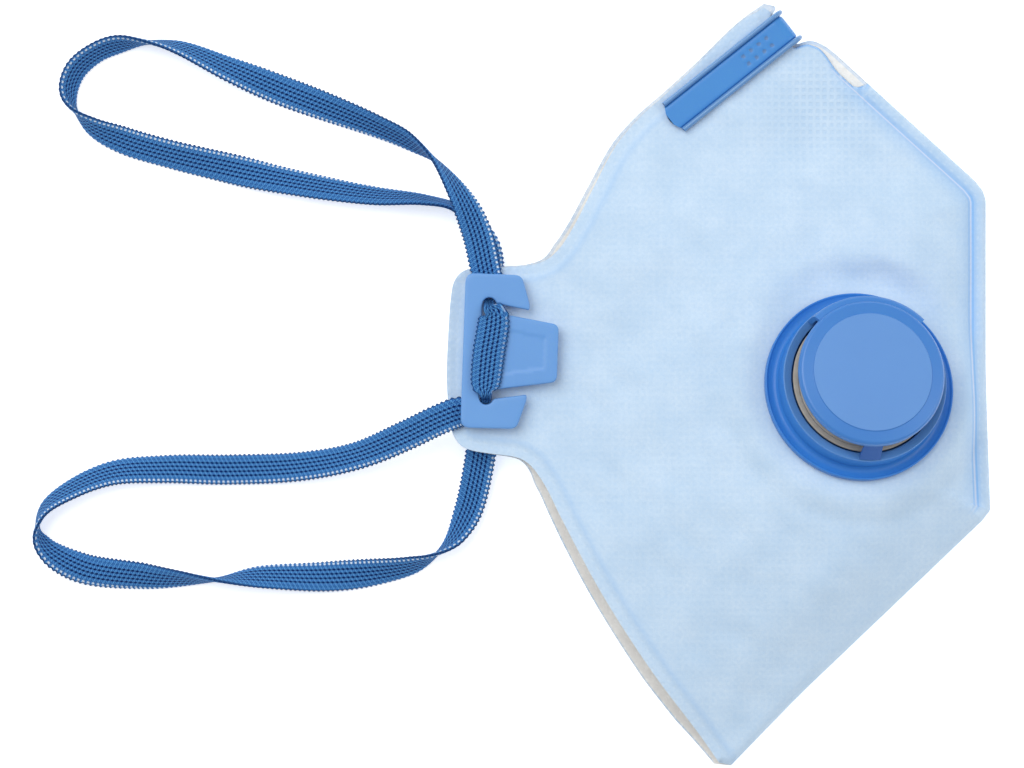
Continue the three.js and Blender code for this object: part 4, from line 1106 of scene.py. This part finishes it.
class MASK_OT_add_nose_clip(bpy.types.Operator):
    """Add the folded nose clip and the ends of its wires"""
    bl_idname = "mask.add_nose_clip"
    bl_label = "Nose clip"

    def execute(self, context):
        sizes = context.scene.mask_fittings
        lower, upper = NOSE_BACK - GAP, NOSE_FRONT + GAP
        bend_r = (upper - lower) / 2
        bend_x = CLIP["length"] - bend_r - CLIP["rib"]
        middle = (upper + lower) / 2
        route = [(bend_x * i / 130, upper, 90) for i in range(131)]
        route += [(bend_x + bend_r * math.cos(math.radians(t)),
                   middle + bend_r * math.sin(math.radians(t)), t) for t in range(80, -81, -10)]
        route += [(bend_x * i / 40, lower, -90) for i in range(40, -1, -1)]
        section = clip_section()
        across, above = section.T
        band = np.clip(1 - (across / 2.9) ** 2, 0, 1)
        dimples = [(DIMPLES["first"] + DIMPLES["step"] * i, row)
                   for i in range(4) for row in (-DIMPLES["row"], DIMPLES["row"])]
        sections = []
        for i, (x, z, turn) in enumerate(route):
            height = above.copy()
            for place, row in dimples if turn == 90 else ():
                dip = np.exp(-((x - place) ** 2 + (across - row) ** 2) / 0.16)
                height -= DIMPLES["depth"] * dip * (above > 0.6) * (np.abs(across) < 1.7)
            # The strip is cut to a rounded end between its ribs.
            bulge = sizes.clip_bulge / MM * band * (i in (0, len(route) - 1))
            c, s = math.cos(math.radians(turn)), math.sin(math.radians(turn))
            sections.append(np.column_stack([x + height * c - bulge, across, z + height * s]))
        points, faces = swept(sections)
        place = np.array(Matrix.Rotation(math.radians(CLIP["angle"]), 3, "Z"))
        shift = np.array((CLIP["x"], CLIP["y"], 0))
        plastic = moulded("extruded_polyethylene_strip", sizes.clip, srgb(0x4286CC), 0.36, 0.5,
                          0.002, 0.1, 0.35)
        # The ribs take a lighter, greyer material than the band.
        ribs = np.abs(across + np.roll(across, -1)) / 2 > 2.66
        kinds = [int(rib) for _ in sections[1:] for rib in ribs] + [0, 0]
        # Faces in the dimples take a darker material, as painted shade in the recesses.
        for i, (x, _, turn) in enumerate(route[:-1]):
            for j, (a, h) in enumerate(zip(across, above)):
                near = any(math.hypot(x - p, a - row) < 0.42 for p, row in dimples)
                if turn == 90 and h > 0.6 and near:
                    kinds[i * len(section) + j] = 2
        dimple_shade = moulded("stamped_polyethylene_dimples_shaded", srgb(0x5580B4), srgb(0x4C76AA), 0.45,
                          0.5, 0.004, 0.0)
        lighter_ribs = moulded("wire_rib_polyethylene", srgb(0x6F9CCB), srgb(0x5D8DC4), 0.36, 0.5, 0.004,
                       0.25)
        piece = add_piece("nose_clip_strip", points @ place.T + shift, faces,
                          ["nose_clip"], [plastic, lighter_ribs, dimple_shade], kinds, sharp=40)
        face_outward(piece)
        wires = []
        for z in (upper + CLIP["wire_z"], lower - CLIP["wire_z"]):
            for side in (-CLIP["wire"], CLIP["wire"]):
                wire, wire_faces = turned(rounded_profile([
                    (0, 0, 0), (0.34, 0, 0.08), (0.34, 1.2, 0.08), (0, 1.2, 0)]), 16)
                wires.append((np.column_stack([wire[:, 2] - 0.06, wire[:, 0] + side,
                                               wire[:, 1] + z]), wire_faces))
        points, faces = merged(*wires)
        piece = add_piece("nose_clip_wire_ends", points @ place.T + shift, faces, [],
                          [drawn_steel("drawn_iron_wire", srgb(0x2A2622))], sharp=40)
        face_outward(piece)
        return {"FINISHED"}


# ---------------------------------------------------------------- valve

def side_wall(rows, start, end):
    """Part of the cap between two bearings in degrees, from its profile's rows."""
    profile = rounded_profile(rows)
    sections = []
    for bearing in np.radians(np.linspace(start, end, max(8, int((end - start) / 1.5)))):
        r, z = profile.T
        sections.append(np.column_stack([r * math.cos(bearing), r * math.sin(bearing), z]))
    return swept(sections)


def face_kinds(points, faces, wanted):
    """1 for each face whose middle, as (radius, height), is wanted, and 0 for the others."""
    middles = [points[list(face)].mean(0) for face in faces]
    return [int(wanted(np.hypot(*middle[:2]), middle[2])) for middle in middles]


class MASK_OT_add_valve(bpy.types.Operator):
    """Add the valve's body, membrane and cap"""
    bl_idname = "mask.add_valve"
    bl_label = "Exhalation valve"

    def execute(self, context):
        colours = context.scene.mask_valve
        glossy = moulded("moulded_polypropylene_body", colours.flange, srgb(0x3379C9), 0.38,
                         0.6, 0.004, 0.15, 0.3)
        # The ring's top takes a lighter colour: painted reflection.
        ring_top_reflection = moulded("polypropylene_ring_top_reflection", srgb(0x5E93D2), srgb(0x5589C8), 0.4, 0.6,
                         0.004, 0.1)
        cap_gloss = moulded("moulded_polypropylene_cap", colours.cap, srgb(0x3979C4), 0.36,
                            0.6, 0.004, 0.25)
        cap_matt = moulded("spark_eroded_polypropylene_disc", colours.disc, srgb(0x5D8ECD), 0.55,
                           0.12, 0.012, 0.0)
        body = turned(rounded_profile([
            (9, 0, 0), (FLANGE_R, 0, 0.3), (FLANGE_R, RIM_Z - 0.1, 0.2),
            (FLANGE_R - 0.25, RIM_Z, 0.15), (FLANGE_R - 0.6, RIM_Z - 0.3, 0.15),
            (17.5, 1.15, 0.6), (16.8, 1.3, 0.3), (RING_R + 0.12, 1.9, 0.15),
            (RING_R, RING_Z, 0.25), (RING_INNER_R, RING_Z - 0.65, 0.2), (RING_INNER_R, 2.2, 0.3),
            (SEAT_R + 0.6, 2.2, 0.3), (SEAT_R + 0.4, SEAT_Z, 0.2), (SEAT_R - 0.4, SEAT_Z, 0.2),
            (SEAT_R - 0.7, 1.2, 0.2), (9, 1.2, 0), (9, 0, 0)]))
        hub = turned(rounded_profile([
            (0, 3, 0), (2.2, 3, 0.2), (2.2, SEAT_Z, 0.2), (0.9, SEAT_Z, 0.1), (0.9, 7.2, 0.3),
            (0, 7.2, 0)]), 32)
        spokes = []
        for quarter in range(4):
            bearing = math.radians(45 + 90 * quarter)
            out = np.array((math.cos(bearing), math.sin(bearing), 0))
            aside = np.array((-out[1], out[0], 0))
            ring = [(0.65, 3.15), (0.65, 4.85), (0.45, 4.95), (-0.45, 4.95), (-0.65, 4.85),
                    (-0.65, 3.15), (-0.45, 3.05), (0.45, 3.05)]
            spokes.append(swept([
                np.array([out * r + aside * a + np.array((0, 0, z)) for a, z in ring])
                for r in np.linspace(1.8, SEAT_R - 0.3, 6)]))
        points, faces = merged(body, hub, *spokes)
        # Faces on the ring's top take the lighter material, a painted reflection.
        kinds = face_kinds(points, faces,
                           lambda r, z: RING_INNER_R < r < RING_R and z > RING_Z - 0.7)
        piece = add_piece("valve_flange_body", on_valve(points), faces,
                          ["valve_base"], [glossy, ring_top_reflection], kinds, sharp=45)
        face_outward(piece)

        low, high = SEAT_Z + GAP, SEAT_Z + GAP + MEMBRANE_T
        points, faces = turned(rounded_profile([
            (1.25, low, 0), (MEMBRANE_R, low, 0.12), (MEMBRANE_R, high, 0.25),
            (13.35, high, 0.15), (13.2, high - 0.22, 0.05), (13.0, high - 0.08, 0.1),
            (1.25, high - 0.08, 0), (1.25, low, 0)]))
        piece = add_piece("valve_flap", on_valve(points), faces, ["valve_membrane"],
                          [silicone("cast_silicone_sheet", colours.membrane, srgb(0xA0998D))],
                          sharp=45)
        face_outward(piece)

        rings = rounded_profile([
            (0, SKIRT_Z + 0.4, 0), (CAP_R - 1.3, SKIRT_Z + 0.4, 0.2), (CAP_R - 1.2, SKIRT_Z, 0.1),
            (CAP_R - 0.2, SKIRT_Z, 0.15), (CAP_R, SKIRT_Z + 0.3, 0.15), (CAP_R, CAP_Z - 0.9, 0.3),
            (CAP_R - 0.5, CAP_Z - 0.35, 0.3), (DISC_R + 0.12, CAP_Z - 0.2, 0.05),
            (DISC_R, CAP_Z, 0.1), (6, CAP_Z, 0), (0, CAP_Z, 0)])
        lid, lid_faces = turned(rings)
        foot = RING_Z + GAP
        wall = side_wall([
            (CAP_R - 0.9, SKIRT_Z + 0.6, 0), (CAP_R - 0.1, SKIRT_Z + 1.4, 0.3),
            (CAP_R + 1.2, SKIRT_Z + 1.0, 1.3), (CAP_R + 1.5, SKIRT_Z - 0.8, 0.6),
            (CAP_R + 1.65, foot, 0), (CAP_R + 0.6, foot, 0), (CAP_R + 0.45, SKIRT_Z - 0.2, 0.2),
        ], 45, 134)
        post = side_wall([
            (CAP_R - 0.9, SKIRT_Z + 0.7, 0), (CAP_R - 0.4, SKIRT_Z + 0.7, 0),
            (CAP_R, SKIRT_Z - 0.6, 0.5), (RING_R - 0.15, foot, 0), (RING_R - 1.25, foot, 0),
            (RING_R - 1.5, RING_Z + 1.4, 0.2),
        ], 263, 278)
        points, faces = merged((lid, lid_faces), wall, post)
        kinds = face_kinds(points, faces[:-len(post[1])],
                           lambda r, z: z > CAP_Z - 0.03 and r < DISC_R)
        # The post takes a darker material: painted shadow under the lid's edge.
        kinds += [2] * len(post[1])
        post_shadow = moulded("moulded_polypropylene_post_shadowed", srgb(0x2460AE), srgb(0x2058A4), 0.6, 0.6,
                           0.004, 0.0)
        piece = add_piece("valve_cover", on_valve(points), faces, ["valve_cap"],
                          [cap_gloss, cap_matt, post_shadow], kinds, sharp=45)
        face_outward(piece)
        return {"FINISHED"}


# ---------------------------------------------------------------- buckles

def buckle_outline():
    """Closed outline of the E-shaped plate, in its own frame."""
    eye = []
    for turn in range(20, 181, 20):
        angle = math.radians(turn)
        eye.append((BUCKLE["eye_x"] + BUCKLE_EYE["r"] * math.cos(angle),
                    BUCKLE_EYE["top_y"] + BUCKLE_EYE["r"] * math.sin(angle), 0))
    foot = BUCKLE_EYE["foot_y"]
    eye += [(BUCKLE["eye_x"] - BUCKLE_EYE["r"], foot, 0.5),
            (BUCKLE["eye_x"] + 1.5, foot - 0.2, 0.5)]
    upper = [*BUCKLE_HALF, *eye, *BUCKLE_TONGUE]
    lower = [(x, -y, radius) for x, y, radius in upper[::-1]]
    return round_corners(upper + lower)


class MASK_OT_add_buckles(bpy.types.Operator):
    """Add the front and back strap buckles"""
    bl_idname = "mask.add_buckles"
    bl_label = "Strap buckles"

    def execute(self, context):
        sizes = context.scene.mask_fittings
        plastic = moulded("moulded_polypropylene_buckle", sizes.buckle, srgb(0x6297D5), 0.42,
                          0.3, 0.006, 0.12)
        radius = sizes.buckle_edge / MM
        outline = spaced(buckle_outline(), 0.45)
        pad = spaced(np.array(TONGUE_PAD, float), 0.4)
        centre = pad.mean(0)
        inner_pad = centre + (pad - centre) * 0.955
        flat, faces = fill_outline(outline, 0.7, [radius * s for s in (0.12, 0.35, 0.65, 1.0)],
                                   extra=[pad, inner_pad])
        edge = nearest(flat, outline, True)[0]
        from_flat = radius - np.minimum(edge, radius)
        fall = radius - np.sqrt(np.clip(radius ** 2 - from_flat ** 2, 0, None))
        sunk = inside(flat, pad * 0.999 + centre * 0.001)
        depth = np.where(sunk, PAD_DEPTH * smooth(0, 0.16, nearest(flat, pad, True)[0]), 0)
        points, all_faces, _ = slab(flat, faces, PLATE - fall - depth, fall)
        foot_flat, foot_faces = fill_outline(pad, 1.2, [])
        foot, foot_sides, _ = slab(foot_flat, foot_faces, np.full(len(foot_flat), 0.2),
                                   np.full(len(foot_flat), GAP - UNDER_STRAP))
        points, all_faces = merged((points, all_faces), (foot, foot_sides))
        for side in ("front", "back"):
            piece = add_piece(f"strap_buckle_{side}", on_buckle(points, side == "front"),
                              all_faces, [f"buckle_{side}"], [plastic], sharp=50)
            face_outward(piece)
        return {"FINISHED"}


# ---------------------------------------------------------------- stage

def add_softbox(name, place, aim, size, power):
    """A square softbox at a place, turned towards its aim."""
    light = bpy.data.lights.new(name, "AREA")
    light.size, light.energy = size, power
    lamp = bpy.data.objects.new(name, light)
    lamp.location = place
    lamp.rotation_euler = (Vector(aim) - Vector(place)).to_track_quat("-Z", "Y").to_euler()
    bpy.context.scene.collection.objects.link(lamp)


class MASK_OT_add_stage(bpy.types.Operator):
    """Add the camera, the floor and the studio lights"""
    bl_idname = "mask.add_stage"
    bl_label = "Camera, floor and lights"

    def execute(self, context):
        scene, sizes = context.scene, context.scene.mask_stage
        low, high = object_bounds()
        camera = bpy.data.objects.new("overhead_camera", bpy.data.cameras.new("overhead_camera"))
        camera.data.lens = sizes.lens
        camera.data.clip_start, camera.data.clip_end = 0.05, 20
        camera.location = ((low.x + high.x) / 2 - 0.00005, (low.y + high.y) / 2 + 0.0001,
                           sizes.camera_height)
        scene.collection.objects.link(camera)
        scene.camera = camera
        self.add_floor()
        aim = (0, 0, 0.01)
        add_softbox("key_softbox", (-0.4, 0.4, 0.85), aim, 0.8, sizes.key)
        add_softbox("fill_softbox", (0.8, 0.1, 0.7), aim, 0.6, sizes.fill)
        world = bpy.data.worlds.new("white_surround")
        world.use_nodes = True
        background = world.node_tree.nodes["Background"]
        background.inputs["Color"].default_value = (0.93, 0.96, 1.0, 1)
        background.inputs["Strength"].default_value = sizes.sky
        scene.world = world
        scene.view_settings.view_transform = "Standard"
        return {"FINISHED"}

    def add_floor(self):
        """Opal acrylic light table: lit from below, so that it stays even white under shadows."""
        material, tree = new_material("opal_acrylic_light_table")
        mottle = noise(tree, object_place(tree), 40.0)
        finish_material(tree, {
            "Base Color": blend(tree, mottle, srgb(0xFBFBFB), srgb(0xF8F8F8)),
            "Roughness": 0.9, "Specular IOR Level": 0.1,
            "Emission Color": (1, 1, 1, 1), "Emission Strength": 0.5,
        })
        cells, half = 8, 1.5
        line = np.linspace(-half, half, cells + 1)
        points = [(x, y, 0) for y in line for x in line]
        faces = [(r * (cells + 1) + c, r * (cells + 1) + c + 1, (r + 1) * (cells + 1) + c + 1,
                  (r + 1) * (cells + 1) + c) for r in range(cells) for c in range(cells)]
        mesh = bpy.data.meshes.new("studio_floor")
        mesh.from_pydata(points, [], faces)
        mesh.materials.append(material)
        floor = bpy.data.objects.new("studio_floor", mesh)
        bpy.context.scene.collection.objects.link(floor)
        floor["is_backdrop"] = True


# ---------------------------------------------------------------- panel and registration

OPERATORS = (
    MASK_OT_add_stage, MASK_OT_add_straps, MASK_OT_add_cloth, MASK_OT_add_nose_clip,
    MASK_OT_add_valve, MASK_OT_add_buckles,
)


class MASK_PT_pieces(bpy.types.Panel):
    """Lists the pieces and their settings"""
    bl_idname = "MASK_PT_pieces"
    bl_label = "Half mask"
    bl_space_type = "VIEW_3D"
    bl_region_type = "UI"
    bl_category = "Half mask"

    def draw(self, context):
        for operator in OPERATORS:
            self.layout.operator(operator.bl_idname)
        for name, group in SETTINGS.items():
            box = self.layout.box()
            box.label(text=name.replace("mask_", "").capitalize())
            for key in group.__annotations__:
                box.prop(getattr(context.scene, name), key)


def register():
    for kind in (*SETTINGS.values(), *OPERATORS, MASK_PT_pieces):
        bpy.utils.register_class(kind)
    for name, group in SETTINGS.items():
        setattr(bpy.types.Scene, name, bpy.props.PointerProperty(type=group))


def unregister():
    for name in SETTINGS:
        delattr(bpy.types.Scene, name)
    for kind in (MASK_PT_pieces, *OPERATORS[::-1], *tuple(SETTINGS.values())[::-1]):
        bpy.utils.unregister_class(kind)


def main():
    """Register, and add every piece in order."""
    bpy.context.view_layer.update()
    register()
    bpy.ops.mask.add_stage()
    bpy.ops.mask.add_straps()
    bpy.ops.mask.add_cloth()
    bpy.ops.mask.add_nose_clip()
    bpy.ops.mask.add_valve()
    bpy.ops.mask.add_buckles()


if __name__ == "__main__":
    main()
